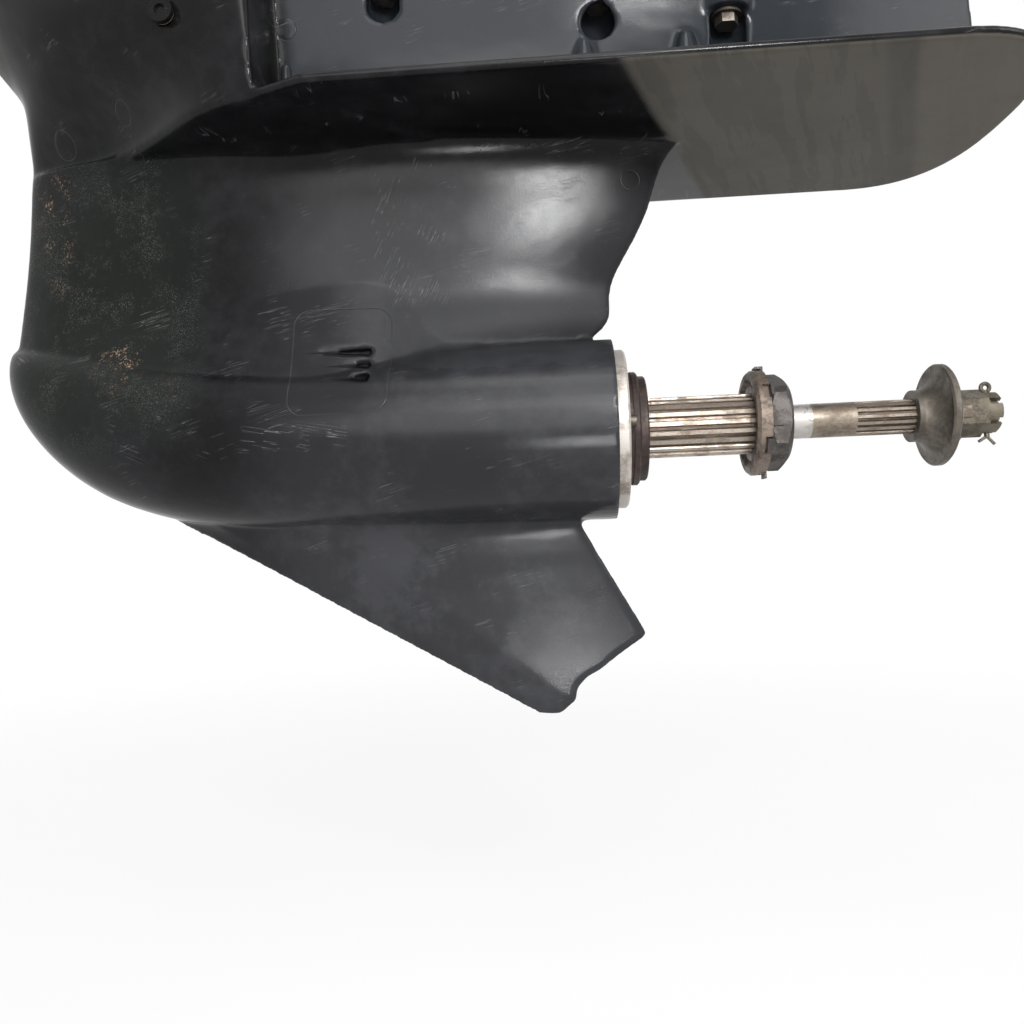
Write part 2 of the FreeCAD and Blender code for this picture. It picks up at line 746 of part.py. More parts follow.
def turned(profile):
    """Solid of revolution about local +Z from (radius, z) corners."""
    corners = [Vec(r, 0.0, z) for r, z in profile]
    corners.append(corners[0])
    return Part.Face(Part.makePolygon(corners)).revolve(Vec(0, 0, 0), Vec(0, 0, 1), 360.0)


def placed(shape, origin, direction):
    """A copy whose local +Z points along direction, with its zero at origin."""
    copy = shape.copy()
    copy.Placement = FreeCAD.Placement(origin, FreeCAD.Rotation(Vec(0, 0, 1), direction))
    return copy


def needle_ring(shaft_r, race_r, length, origin, direction):
    """Needles that fill the ring between a shaft and a race."""
    roll_r = 0.5 * (race_r - shaft_r) - clearance
    middle = 0.5 * (race_r + shaft_r)
    count = int(2.0 * math.pi * middle / (2.0 * roll_r + 0.9))
    needles = []
    for i in range(count):
        angle = 2.0 * math.pi * i / count
        place = Vec(middle * math.cos(angle), middle * math.sin(angle), 0.0)
        needles.append(Part.makeCylinder(roll_r, length, place))
    return placed(Part.makeCompound(needles), origin, direction)


def lip_seal(shaft_r, bore_r, length):
    """Rubber seal with a lip that comes close to its shaft."""
    lip = shaft_r + clearance
    return turned([(shaft_r + 2.2, 0.0), (bore_r, 0.0), (bore_r, length), (lip + 0.6, length),
                   (lip, 0.62 * length), (shaft_r + 2.2, 0.4 * length)])


aft = Vec(1.0, 0.0, 0.0)
forward = Vec(-1.0, 0.0, 0.0)
up = Vec(0.0, 0.0, 1.0)
down = Vec(0.0, 0.0, -1.0)


def on_axis(x):
    return Vec(x, 0.0, axis_z)


# Bearing carrier: front cup for the rear bearing, tube, and a rear flange with exhaust windows
rear_bearing_end = gear_hub_end + bearing_width
tube_start_x = rear_bearing_end + 12.0
flange_start_x = carrier_rear_x - carrier_flange_length
pilot_end_x = carrier_front_x + carrier_pilot_length
o_ring_places = (rear_bearing_end + 3.0, rear_bearing_end + 9.0)
window_inner_r = front_hub_r + 1.6
window_outer_r = carrier_flange_r - 4.5
carrier_race_r = 29.0
carrier_needle_x = 190.0
carrier_needle_length = 25.0
seal_length = 5.0
outer_seal_x = carrier_rear_x - 12.5


def bearing_carrier():
    groove = 2.4 * o_ring_r
    cup_seat_r = rear_cup_r + clearance
    cup_seat_x = rear_bearing_end + clearance
    body = spin_x([(carrier_front_x, cup_seat_r), (cup_seat_x, cup_seat_r),
                   (cup_seat_x, carrier_bore_r), (carrier_rear_x, carrier_bore_r),
                   (carrier_rear_x, carrier_flange_r - 1.5), (carrier_rear_x - 1.5, carrier_flange_r),
                   (flange_start_x, carrier_flange_r), (flange_start_x, carrier_tube_r),
                   (tube_start_x, carrier_tube_r), (tube_start_x, carrier_pilot_r - 4.0),
                   (pilot_end_x, carrier_pilot_r - 4.0), (pilot_end_x, carrier_pilot_r),
                   (carrier_front_x, carrier_pilot_r)])
    for x in o_ring_places:
        body = body.cut(ring_x(x - 0.5 * groove, x + 0.5 * groove, carrier_pilot_r - 2.0 * o_ring_r - 0.1,
                               carrier_pilot_r + 1.0))
    spoke = 2.0 * math.pi / carrier_windows
    for i in range(carrier_windows):
        arc = math.degrees(spoke) - 16.0
        start = math.degrees(spoke) * i + 8.0
        slot = Part.Face(Part.makePolygon([Vec(0, window_inner_r, 0), Vec(0, window_outer_r, 0),
                                           Vec(carrier_flange_length + 2.0, window_outer_r, 0),
                                           Vec(carrier_flange_length + 2.0, window_inner_r, 0),
                                           Vec(0, window_inner_r, 0)]))
        slot = slot.revolve(Vec(0, 0, 0), aft, arc)
        slot.rotate(Vec(0, 0, 0), aft, start)
        slot.translate(on_axis(flange_start_x - 1.0))
        body = body.cut(slot)
    for y, z in carrier_bolt_places():
        body = body.cut(rod_x(flange_start_x - 1.0, carrier_rear_x + 1.0, carrier_bolt_r + clearance, y, z))
    return body


carrier_bolt_r = 2.5
carrier_bolt_head_r = 4.3


def carrier_bolt_places():
    """One bolt in each spoke between two windows."""
    middle = 0.5 * (window_inner_r + window_outer_r)
    places = []
    for i in range(0, carrier_windows, 3):
        angle = 2.0 * math.pi * i / carrier_windows
        places.append((middle * math.cos(angle), middle * math.sin(angle)))
    return places


def carrier_bolts():
    bolts = []
    for y, z in carrier_bolt_places():
        shank = rod_x(flange_start_x + 1.0, carrier_rear_x + 0.5 * clearance, carrier_bolt_r, y, z)
        head = rod_x(carrier_rear_x + 0.5 * clearance, carrier_rear_x + 4.5, carrier_bolt_head_r, y, z)
        bolts.append(shank.fuse(head))
    return Part.makeCompound(bolts)


def cord_ring(middle_r, cord_r):
    """O-ring about local +Z, with a ten-sided section."""
    corners = []
    for i in range(10):
        angle = 0.2 * math.pi * (i + 0.5)
        corners.append((middle_r + cord_r * math.cos(angle), cord_r * math.sin(angle)))
    return turned(corners)


def carrier_o_rings():
    rings = []
    for x in o_ring_places:
        rings.append(placed(cord_ring(carrier_pilot_r - o_ring_r, o_ring_r), on_axis(x), aft))
    return Part.makeCompound(rings)


# Shafts
front_hub_x = carrier_rear_x + 0.7
front_hub_end = front_hub_x + front_hub_length
thrust_ring_x = front_hub_end + outer_spline_length
thrust_ring_end = thrust_ring_x + thrust_ring_length
big_nut_x = thrust_ring_end + tab_thickness + 2.0 * seat_gap
needle_length = 20.0
inner_race_r = 16.7
seal_pocket_x = outer_end_x - 12.0
rear_hub_x = 448.5
rear_hub_end = rear_hub_x + rear_hub_length
rear_nut_x = rear_hub_end + tab_thickness + 2.0 * seat_gap


def inner_prop_shaft():
    root = inner_r - 1.5
    front = front_bearing_x - front_nut_length - 2.0
    spline_x = rear_hub_x - rear_spline_length
    body = spin_x([(front, 0.0), (front, front_thread_r), (front_bearing_x, front_thread_r),
                   (front_bearing_x, inner_seat_r), (-outer_start_x + 2.0, inner_seat_r),
                   (-outer_start_x + 6.0, inner_r), (spline_x, inner_r), (spline_x, root - 1.0),
                   (rear_hub_end, root - 1.0), (rear_hub_end, inner_thread_r),
                   (inner_end_x - 1.5, inner_thread_r), (inner_end_x, inner_thread_r - 1.5),
                   (inner_end_x, 0.0)])
    splines = splined_x(spline_x, rear_hub_end, inner_splines, inner_r, root)
    hole = rod_z(axis_z - 30.0, axis_z + 30.0, cotter_r + 0.4, cotter_x, 0.0)
    return body.fuse(splines).cut(hole)


def outer_prop_shaft():
    root = outer_r - spline_height
    body = rod_x(outer_start_x, front_hub_end, outer_r)
    body = body.fuse(splined_x(front_hub_end, thrust_ring_end, outer_splines, outer_r, root))
    body = body.fuse(rod_x(thrust_ring_end, outer_end_x, root))
    body = body.cut(rod_x(outer_start_x - 1.0, outer_end_x + 1.0, outer_bore_r))
    body = body.cut(rod_x(outer_start_x - 1.0, outer_start_x + needle_length + 3.0, inner_race_r))
    return body.cut(rod_x(seal_pocket_x - needle_length - 3.0, outer_end_x + 1.0, inner_race_r))


def drive_shaft():
    top = drive_top
    spline_z = top - drive_spline_length
    body = spin_z([(0.0, pinion_thread_z), (pinion_thread_r, pinion_thread_z),
                   (pinion_thread_r, pinion_seat_z), (drive_seat_r, pinion_seat_z),
                   (drive_seat_r, pinion_top), (drive_journal_r, pinion_top),
                   (drive_journal_r, needle_z1 + 4.0), (drive_r, needle_z1 + 8.0),
                   (drive_r, shoulder_z0 - 4.0), (shoulder_r, shoulder_z0),
                   (shoulder_r, shoulder_z1), (drive_journal_r, shoulder_z1),
                   (drive_journal_r, upper_bearing_top), (drive_r, upper_bearing_top + 2.0),
                   (drive_r, spline_z), (drive_r - 3.0, spline_z), (drive_r - 3.0, top), (0.0, top)])
    splines = splined_z(spline_z, top - 1.0, drive_splines, drive_r - 0.6, drive_r - 2.3)
    groove = ring_z(o_ring_z - 1.8, o_ring_z + 1.8, drive_r - 2.0, drive_r + 1.0)
    keyway = box(drive_r - key_depth, drive_r + 1.0, -0.5 * key_width, 0.5 * key_width, key_z0, key_z1)
    return body.fuse(splines).cut(groove).cut(keyway)


pinion_thread_z = level(21.0)
pinion_seat_z = level(36.0)
pinion_top = level(66.5)
o_ring_z = drive_top - drive_spline_length - 7.2
shoulder_z1 = upper_bearing_top - bearing_width - seat_gap
shoulder_z0 = shoulder_z1 - 7.0
key_width = 5.0
key_depth = 2.5
base_top = pump_seat_z + gasket_thickness + base_thickness + 2.0 * seat_gap
impeller_z0 = base_top + 1.0
impeller_z1 = impeller_z0 + impeller_height
key_z0 = impeller_z0 + 4.0
key_z1 = impeller_z1 - 4.0
cotter_x = inner_end_x - 6.0


# Gears on their shafts. At rest the pinion has a tooth towards the front gear's gap at the
# top, and a gap towards the rear gear's tooth, because its count of teeth is odd.
def placed_gear(gear, direction, turn):
    whole = placed(gear, apex, direction)
    whole.rotate(apex, aft, turn)
    return whole


def front_gear():
    gear = bevel_gear(gear_teeth, pinion_teeth, inner_seat_r + 0.5 * clearance, inner_seat_r + 8.0,
                      gear_hub_end - seat_gap, 0.0)
    return placed_gear(gear, forward, 180.0 / gear_teeth)


def rear_gear():
    gear = bevel_gear(gear_teeth, pinion_teeth, outer_r + 0.5 * clearance, outer_r + 8.5,
                      gear_hub_end - seat_gap, 0.0)
    return placed_gear(gear, aft, 180.0)


def pinion_gear():
    gear = bevel_gear(pinion_teeth, gear_teeth, drive_seat_r + 0.5 * clearance, pinion_pitch_r,
                      pinion_top - axis_z - seat_gap, math.pi)
    gear.translate(apex)
    return gear


def pinion_nut():
    top = pinion_seat_z - 0.6
    collar_z = top - 2.9
    z0 = pinion_thread_z + 1.5
    nut = hex_z(z0, collar_z, 16.0).fuse(rod_z(collar_z, top, 13.4))
    return nut.cut(rod_z(z0 - 1.0, top + 1.0, pinion_thread_r + 0.5 * clearance))


# Propeller hardware
def front_thrust_hub():
    """Stepped bronze ring with a narrow groove round its larger part."""
    bore = outer_r + clearance
    step_x1 = front_hub_x + 0.58 * front_hub_length
    groove_x0 = front_hub_x + 2.2
    groove_x1 = front_hub_x + 3.4
    groove_r = front_hub_r - 1.4
    return spin_x([(front_hub_x, bore), (front_hub_end, bore), (front_hub_end, front_hub_step_r - 1.0),
                   (front_hub_end - 1.0, front_hub_step_r), (step_x1, front_hub_step_r),
                   (step_x1, front_hub_r - 1.2), (step_x1 - 1.2, front_hub_r), (groove_x1, front_hub_r),
                   (groove_x1, groove_r), (groove_x0, groove_r), (groove_x0, front_hub_r),
                   (front_hub_x, front_hub_r)])


def front_thrust_ring():
    bore = outer_r + clearance
    x0 = thrust_ring_x
    x1 = thrust_ring_end
    ring = spin_x([(x0 + 2.0, bore), (x1, bore), (x1, thrust_ring_r), (x0 + 2.4, thrust_ring_r),
                   (x0, thrust_ring_r - 2.0), (x0, thrust_ring_r - 6.0), (x0 + 4.0, thrust_ring_r - 8.5),
                   (x0 + 4.0, bore + 6.5), (x0 + 2.0, bore + 5.0)])
    notch_floor = axis_z + thrust_ring_r - 3.4
    for i in range(6):
        notch = box(x1 - 5.0, x1 + 1.0, -6.2, 6.2, notch_floor, notch_floor + 6.0)
        notch.rotate(apex, aft, 60.0 * i)
        ring = ring.cut(notch)
    return ring


def tab_washer(x0, bore, r, ears, ear_reach, ear_fold, backs, back_r, back_length, width):
    """Flat washer. Ears stand out at some angles, and the other tabs fold along the nut."""
    x1 = x0 + tab_thickness
    half = 0.5 * width
    ear_top = axis_z + r + ear_reach
    back_top = axis_z + back_r + tab_thickness
    washer = ring_x(x0, x1, bore, r)
    for i, angle in enumerate(ears):
        ear = box(x0, x1, -half, half, axis_z + r - 1.0, ear_top)
        if ear_fold and i % 2 == 0:
            ear = ear.fuse(box(x0 - ear_fold, x1, -half, half, ear_top - tab_thickness, ear_top))
        ear.rotate(apex, aft, angle)
        washer = washer.fuse(ear)
    for angle in backs:
        link = box(x0, x1, -half, half, axis_z + min(r, back_r) - 1.0, back_top)
        fold = box(x0, x0 + back_length, -half, half, back_top - tab_thickness, back_top)
        fold = link.fuse(fold)
        fold.rotate(apex, aft, angle)
        washer = washer.fuse(fold)
    return washer


def front_nut():
    """Large hexagon nut with a flat towards each flank and a bevelled rear face."""
    x0 = big_nut_x
    x1 = x0 + big_nut_length
    root = outer_r - spline_height + 0.5 * clearance
    envelope = spin_x([(x0, root), (x1, root), (x1, big_nut_r * 0.8), (x1 - 6.0, big_nut_r),
                       (x0 + 2.0, big_nut_r), (x0, big_nut_r * 0.9)])
    return hex_x(x0, x1, big_nut_r).common(envelope)


def rear_thrust_hub():
    """Collar, hollow cone, thick rim and rear boss, turned in one piece."""
    bore = inner_r + clearance
    rim_end = rear_hub_end - rear_boss_length
    rim_start = rim_end - rear_hub_rim
    collar_end = rear_hub_x + 3.5
    start = Vec(collar_end, 0.0, axis_z + rear_hub_collar_r)
    end = Vec(rim_start, 0.0, axis_z + rear_hub_r - 1.2)
    bend = Vec(collar_end + 0.72 * (rim_start - collar_end), 0.0,
               axis_z + rear_hub_collar_r + 0.30 * (rear_hub_r - rear_hub_collar_r))
    corners = [(rim_start + 1.2, rear_hub_r), (rim_end - 1.2, rear_hub_r),
               (rim_end, rear_hub_r - 1.2), (rim_end, rear_boss_r + 2.0), (rim_end + 2.0, rear_boss_r),
               (rear_hub_end, rear_boss_r), (rear_hub_end, bore), (rear_hub_x, bore),
               (rear_hub_x, rear_hub_collar_r)]
    path = [end] + [Vec(x, 0.0, axis_z + r) for x, r in corners] + [start]
    edges = [Part.Arc(start, bend, end).toShape()]
    edges += [Part.LineSegment(a, b).toShape() for a, b in zip(path, path[1:])]
    return Part.Face(Part.Wire(edges)).revolve(apex, aft, 360.0)


def castle_nut():
    x0 = rear_nut_x
    x1 = x0 + castle_nut_length
    crown_x = x1 - 11.0
    crown_r = castle_nut_r - 2.6
    nut = hex_x(x0, crown_x, castle_nut_r).common(
        spin_x([(x0, 0.0), (x0, castle_nut_r - 1.6), (x0 + 1.6, castle_nut_r), (crown_x, castle_nut_r),
                (crown_x, 0.0)]))
    nut = nut.fuse(spin_x([(crown_x - 1.0, 0.0), (crown_x - 1.0, crown_r), (x1 - 1.2, crown_r),
                           (x1, crown_r - 1.2), (x1, 0.0)]))
    nut = nut.cut(rod_x(x0 - 1.0, x1 + 1.0, inner_thread_r + 0.5 * clearance))
    for i in range(3):
        slot = box(x1 - 9.0, x1 + 1.0, -30.0, 30.0, axis_z - 2.4, axis_z + 2.4)
        slot.rotate(apex, aft, 90.0 + 60.0 * i)
        nut = nut.cut(slot)
    return nut


def cotter_pin():
    reach = castle_nut_r - 2.6
    shank = rod_z(axis_z - reach - 2.6, axis_z + reach + 1.5, cotter_r, cotter_x, 0.0)
    eye = placed(cord_ring(cotter_r + 1.1, 1.5), Vec(cotter_x, 0.0, axis_z + reach + 3.6), Vec(0, 1, 0))
    fork = Vec(cotter_x, 0.0, axis_z - reach - 2.2)
    leg = Part.makeCylinder(cotter_leg_r, 7.0, fork, Vec(-0.75, 0.0, -0.45))
    leg_b = Part.makeCylinder(cotter_leg_r, 8.0, fork, Vec(0.55, 0.0, -0.6))
    return shank.fuse(eye).fuse(leg).fuse(leg_b)


def front_bearing_nut():
    x1 = front_bearing_x - seat_gap
    x0 = x1 - front_nut_length
    return hex_x(x0, x1, front_nut_r).cut(rod_x(x0 - 1.0, x1 + 1.0, front_thread_r + 0.5 * clearance))


# Top of the drive shaft: retainer, seal housing and pump
def bearing_retainer():
    z0 = upper_bearing_top + seat_gap
    ring = ring_z(z0, z0 + 9.0, 23.0, upper_cup_r - 0.02)
    for i in range(4):
        slot = box(26.0, 40.0, -3.0, 3.0, z0 + 5.0, z0 + 12.0)
        slot.rotate(Vec(0, 0, 0), up, 90.0 * i)
        ring = ring.cut(slot)
    return ring


def seal_housing():
    pocket = 22.0
    z0 = seal_z0 + seat_gap
    top = pump_seat_z - seat_gap
    return spin_z([(17.0, z0), (seal_housing_r, z0), (seal_housing_r, top), (pocket, top),
                   (pocket, z0 + 3.0), (17.0, z0 + 3.0)])


def drive_shaft_seals():
    low = seal_z0 + seat_gap + 4.0
    seals = []
    for z in (low, low + 9.0):
        seals.append(placed(lip_seal(drive_r, 22.0 - 0.5 * clearance, 7.0), Vec(0, 0, z), up))
    return Part.makeCompound(seals)


def pump_sheet(z0, thickness, bore):
    sheet = rod_z(z0, z0 + thickness, pump_bolt_circle_r + 6.0)
    sheet = sheet.cut(rod_z(z0 - 1.0, z0 + thickness + 1.0, bore))
    for x, y in pump_bolt_places():
        sheet = sheet.cut(rod_z(z0 - 1.0, z0 + thickness + 1.0, pump_bolt_r + 0.3, x, y))
    return sheet


pump_z0 = base_top + seat_gap
liner_wall = 2.5
ear_height = 9.0
outlet_x = -26.0
outlet_r = 11.0
outlet_bore_r = 8.0
outlet_height = 24.0
grommet_bore_r = 6.0
cavity_r = impeller_r + 0.5 + liner_wall + clearance
cavity_top = impeller_z1 + 1.0 + liner_wall + clearance


def pump_housing():
    top = pump_z0 + pump_height
    shell = rod_z(pump_z0, top - 4.0, pump_r).fuse(
        Part.makeCone(pump_r, pump_r - 5.0, 4.0, Vec(0, 0, top - 4.0)))
    shell = shell.fuse(rod_z(pump_z0, pump_z0 + ear_height, pump_bolt_circle_r + 6.0))
    shell = shell.fuse(rod_z(top - 1.0, top + outlet_height, outlet_r, outlet_x, 0.0))
    for i in range(8):
        rib = box(pump_r - 3.0, pump_r + 5.0, -1.5, 1.5, pump_z0 + 2.0, top - 8.0)
        rib.rotate(Vec(0, 0, 0), up, 45.0 * i + 22.5)
        shell = shell.fuse(rib)
    shell = shell.cut(rod_z(pump_z0 - 1.0, cavity_top, cavity_r))
    shell = shell.cut(rod_z(pump_z0, top + 1.0, drive_r + 1.5))
    shell = shell.cut(rod_z(top - 12.0, top + outlet_height + 1.0, outlet_bore_r, outlet_x, 0.0))
    for x, y in pump_bolt_places():
        shell = shell.cut(rod_z(pump_z0 - 1.0, pump_z0 + ear_height + 1.0, pump_bolt_r + clearance, x, y))
    return shell


def pump_liner():
    r = cavity_r - clearance
    top = cavity_top - clearance
    z0 = pump_z0 + seat_gap
    return spin_z([(r - liner_wall, z0), (r, z0), (r, top), (drive_r + 4.0, top),
                   (drive_r + 4.0, top - liner_wall), (r - liner_wall, top - liner_wall)])


def impeller():
    hub = 21.0
    body = rod_z(impeller_z0, impeller_z1, hub)
    for i in range(impeller_vanes):
        vane = box(hub - 1.0, impeller_r - 1.6, -1.6, 1.6, impeller_z0, impeller_z1)
        tip = rod_z(impeller_z0, impeller_z1, 2.4, impeller_r - 2.4, 0.0)
        vane = vane.fuse(tip)
        vane.rotate(Vec(0, 0, 0), up, 360.0 * i / impeller_vanes)
        body = body.fuse(vane)
    body = body.cut(rod_z(impeller_z0 - 1.0, impeller_z1 + 1.0, drive_r + clearance))
    half = 0.5 * key_width + clearance
    slot = box(0.0, drive_r + key_depth + clearance, -half, half, impeller_z0 - 1.0, impeller_z1 + 1.0)
    return body.cut(slot)


def impeller_key():
    half = 0.5 * key_width - clearance
    return box(drive_r - key_depth + clearance, drive_r + key_depth - clearance, -half, half,
               key_z0 + clearance, key_z1 - clearance)


def pump_bolts():
    seat = pump_z0 + ear_height + seat_gap
    bolts = []
    for x, y in pump_bolt_places():
        shank = rod_z(-pump_hole_depth + 1.0, seat, pump_bolt_r, x, y)
        bolts.append(shank.fuse(hex_z(seat, seat + 5.0, 5.8, x, y)))
    return Part.makeCompound(bolts)


def water_tube_grommet():
    top = pump_z0 + pump_height + outlet_height
    body = rod_z(top - 16.0, top, outlet_bore_r - clearance, outlet_x, 0.0)
    body = body.fuse(rod_z(top + seat_gap, top + 3.0, outlet_r, outlet_x, 0.0).fuse(
        rod_z(top - 1.0, top + 1.0, outlet_bore_r - clearance, outlet_x, 0.0)))
    return body.cut(rod_z(top - 20.0, top + 5.0, grommet_bore_r, outlet_x, 0.0))


def mounting_bolts():
    bolts = []
    for x, y, low, seat in stud_places():
        head_top = level(seat) - seat_gap
        bolt = rod_z(head_top - 1.0, 0.0, shank_r, x, y).fuse(rod_z(0.0, stud_proud, stud_r, x, y))
        bolt = bolt.fuse(hex_z(head_top - stud_head_height, head_top, stud_head_r, x, y))
        bolts.append(bolt.fuse(rod_z(head_top - 1.8, head_top, stud_head_r + 2.4, x, y)))
    return Part.makeCompound(bolts)


def dowel_pins():
    pins = []
    for x, y in dowel_places():
        pins.append(rod_z(-dowel_depth + 0.5, 9.0, dowel_r, x, y))
    return Part.makeCompound(pins)


def oil_screw(seat_y, length, outward, x, height):
    """Screw with a slotted head, along Y, with its head on the outside."""
    z = level(height)
    washer = 1.2
    head0 = seat_y + outward * (washer + 2.0 * seat_gap)
    head1 = head0 + outward * 3.6
    inner = seat_y - outward * length
    low, high = sorted((inner, head0))
    body = rod_y(low, high, plug_r, x, z)
    low, high = sorted((head0, head1))
    head = rod_y(low, high, plug_head_r, x, z)
    low, high = sorted((head1 - outward * 2.0, head1 + outward))
    return body.fuse(head).cut(rod_y(low, high, 3.6, x, z))


def oil_washer(seat_y, outward, x, height):
    low, high = sorted((seat_y + outward * seat_gap, seat_y + outward * (seat_gap + 1.2)))
    z = level(height)
    return rod_y(low, high, plug_head_r - 0.5, x, z).cut(rod_y(low - 1.0, high + 1.0, plug_r + 0.3, x, z))


parts = {}
parts["gearcase_housing"] = housing()
parts["bearing_carrier"] = bearing_carrier()
parts["carrier_bolts"] = carrier_bolts()
parts["carrier_o_rings"] = carrier_o_rings()

front_set = bearing(inner_seat_r, front_cup_r)
rear_set = bearing(outer_r, rear_cup_r)
upper_set = bearing(drive_journal_r, upper_cup_r)
for label, parts_of_set, origin, direction in (
        ("front_bearing", front_set, on_axis(front_bearing_x), aft),
        ("rear_bearing", rear_set, on_axis(rear_bearing_end), forward),
        ("upper_bearing", upper_set, Vec(0.0, 0.0, upper_bearing_top), down)):
    for piece, shape in zip(("cup", "cone", "rollers"), parts_of_set):
        parts[label + "_" + piece] = placed(shape, origin, direction)

pinion_race_r = drive_journal_r + 4.6
parts["pinion_needle_race"] = ring_z(needle_z0 + seat_gap, needle_z1, pinion_race_r, needle_race_r)
parts["pinion_needles"] = needle_ring(drive_journal_r, pinion_race_r, needle_z1 - needle_z0 - 3.0,
                                      Vec(0, 0, needle_z0 + 1.5), up)
parts["carrier_needle_race"] = ring_x(carrier_needle_x, carrier_needle_x + carrier_needle_length,
                                      carrier_race_r, carrier_bore_r - 0.5 * clearance)
parts["carrier_needles"] = needle_ring(outer_r, carrier_race_r, carrier_needle_length - 3.0,
                                       on_axis(carrier_needle_x + 1.5), aft)
seals = []
for x in (outer_seal_x, outer_seal_x + seal_length + 1.0):
    seals.append(placed(lip_seal(outer_r, carrier_bore_r - 0.5 * clearance, seal_length), on_axis(x), aft))
parts["outer_shaft_seals"] = Part.makeCompound(seals)

parts["inner_prop_shaft"] = inner_prop_shaft()
parts["front_gear"] = front_gear()
parts["front_bearing_nut"] = front_bearing_nut()
parts["rear_thrust_hub"] = rear_thrust_hub()
rear_ear = 3.5
parts["rear_tab_washer"] = tab_washer(rear_hub_end + seat_gap, inner_thread_r + 0.5 * clearance,
                                      rear_washer_r - rear_ear, (30.0, 150.0, 270.0), rear_ear, 0.0,
                                      (90.0, 210.0, 330.0), castle_nut_r * flat_share + 0.2, 9.0, 8.0)
parts["castle_nut"] = castle_nut()
parts["cotter_pin"] = cotter_pin()

parts["outer_prop_shaft"] = outer_prop_shaft()
parts["rear_gear"] = rear_gear()
inner_sets = [needle_ring(inner_r, inner_race_r, needle_length, on_axis(x), aft)
              for x in (outer_start_x + 1.5, seal_pocket_x - needle_length - 1.5)]
parts["inner_shaft_needles"] = Part.makeCompound([solid for ring in inner_sets for solid in ring.Solids])
parts["inner_shaft_seal"] = placed(lip_seal(inner_r, inner_race_r - 0.5 * clearance, 8.0),
                                   on_axis(seal_pocket_x + 1.5), aft)
parts["front_thrust_hub"] = front_thrust_hub()
parts["front_thrust_ring"] = front_thrust_ring()
parts["front_tab_washer"] = tab_washer(thrust_ring_end + seat_gap,
                                       outer_r - spline_height + 0.5 * clearance,
                                       big_nut_r - 3.0, (0.0, 60.0, 120.0, 180.0, 240.0, 300.0), 8.5, 4.0,
                                       (90.0, 210.0, 330.0), big_nut_r * flat_share + 0.2, 9.0, 11.0)
parts["front_nut"] = front_nut()

parts["drive_shaft"] = drive_shaft()
parts["pinion_gear"] = pinion_gear()
parts["pinion_nut"] = pinion_nut()
parts["impeller"] = impeller()
parts["impeller_key"] = impeller_key()
parts["spline_o_ring"] = placed(cord_ring(drive_r - 0.9, 1.0), Vec(0, 0, o_ring_z), up)

parts["bearing_retainer"] = bearing_retainer()
parts["seal_housing"] = seal_housing()
parts["drive_shaft_seals"] = drive_shaft_seals()
parts["pump_gasket"] = pump_sheet(pump_seat_z + seat_gap, gasket_thickness, 20.0)
parts["pump_base_plate"] = pump_sheet(base_top - base_thickness, base_thickness, 17.0)
parts["pump_housing"] = pump_housing()
parts["pump_liner"] = pump_liner()
parts["pump_bolts"] = pump_bolts()
parts["water_tube_grommet"] = water_tube_grommet()
parts["mounting_bolts"] = mounting_bolts()
parts["dowel_pins"] = dowel_pins()
parts["oil_drain_screw"] = oil_screw(drain_seat_y, 11.0, 1.0, drain_x, drain_height)
parts["oil_level_screw"] = oil_screw(level_seat_y, 20.0, -1.0, level_plug_x, level_plug_height)
parts["oil_screw_washers"] = Part.makeCompound([
    oil_washer(drain_seat_y, 1.0, drain_x, drain_height),
    oil_washer(level_seat_y, -1.0, level_plug_x, level_plug_height)])

os.makedirs("parts", exist_ok=True)
for name, shape in parts.items():
    shape.exportStep("parts/" + name + ".step")
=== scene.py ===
# Outboard lower unit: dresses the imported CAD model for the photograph's view.
import json
import math
import bpy
import numpy as np
from mathutils import Matrix, Vector


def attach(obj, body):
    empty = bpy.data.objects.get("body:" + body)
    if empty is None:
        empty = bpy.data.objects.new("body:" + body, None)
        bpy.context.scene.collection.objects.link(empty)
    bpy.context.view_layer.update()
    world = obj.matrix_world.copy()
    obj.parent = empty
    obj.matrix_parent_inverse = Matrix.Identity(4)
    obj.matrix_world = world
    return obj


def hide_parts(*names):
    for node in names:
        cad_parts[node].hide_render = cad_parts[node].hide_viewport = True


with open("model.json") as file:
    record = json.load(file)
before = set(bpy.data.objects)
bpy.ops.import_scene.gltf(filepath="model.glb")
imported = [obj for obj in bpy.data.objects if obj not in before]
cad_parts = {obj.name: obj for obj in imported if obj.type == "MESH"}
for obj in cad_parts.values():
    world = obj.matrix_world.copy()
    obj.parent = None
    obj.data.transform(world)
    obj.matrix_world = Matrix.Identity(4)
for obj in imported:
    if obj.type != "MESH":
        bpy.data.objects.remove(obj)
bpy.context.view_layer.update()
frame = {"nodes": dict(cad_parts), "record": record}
nodes = frame["nodes"]
print("frame loaded")

axisZ = -0.335   # propeller axis in the CAD frame, metres


# Camera, fitted to the photograph at 1024 x 1024
cameraLook = {
    "place": (0.1876, -0.6594, -0.4100),
    "yaw": -0.056392,
    "pitch": 0.00101,
    "roll": -0.039371,
    "lens": 30.594,
    "sensor": 36.0,
    "shiftY": 0.02023,
}


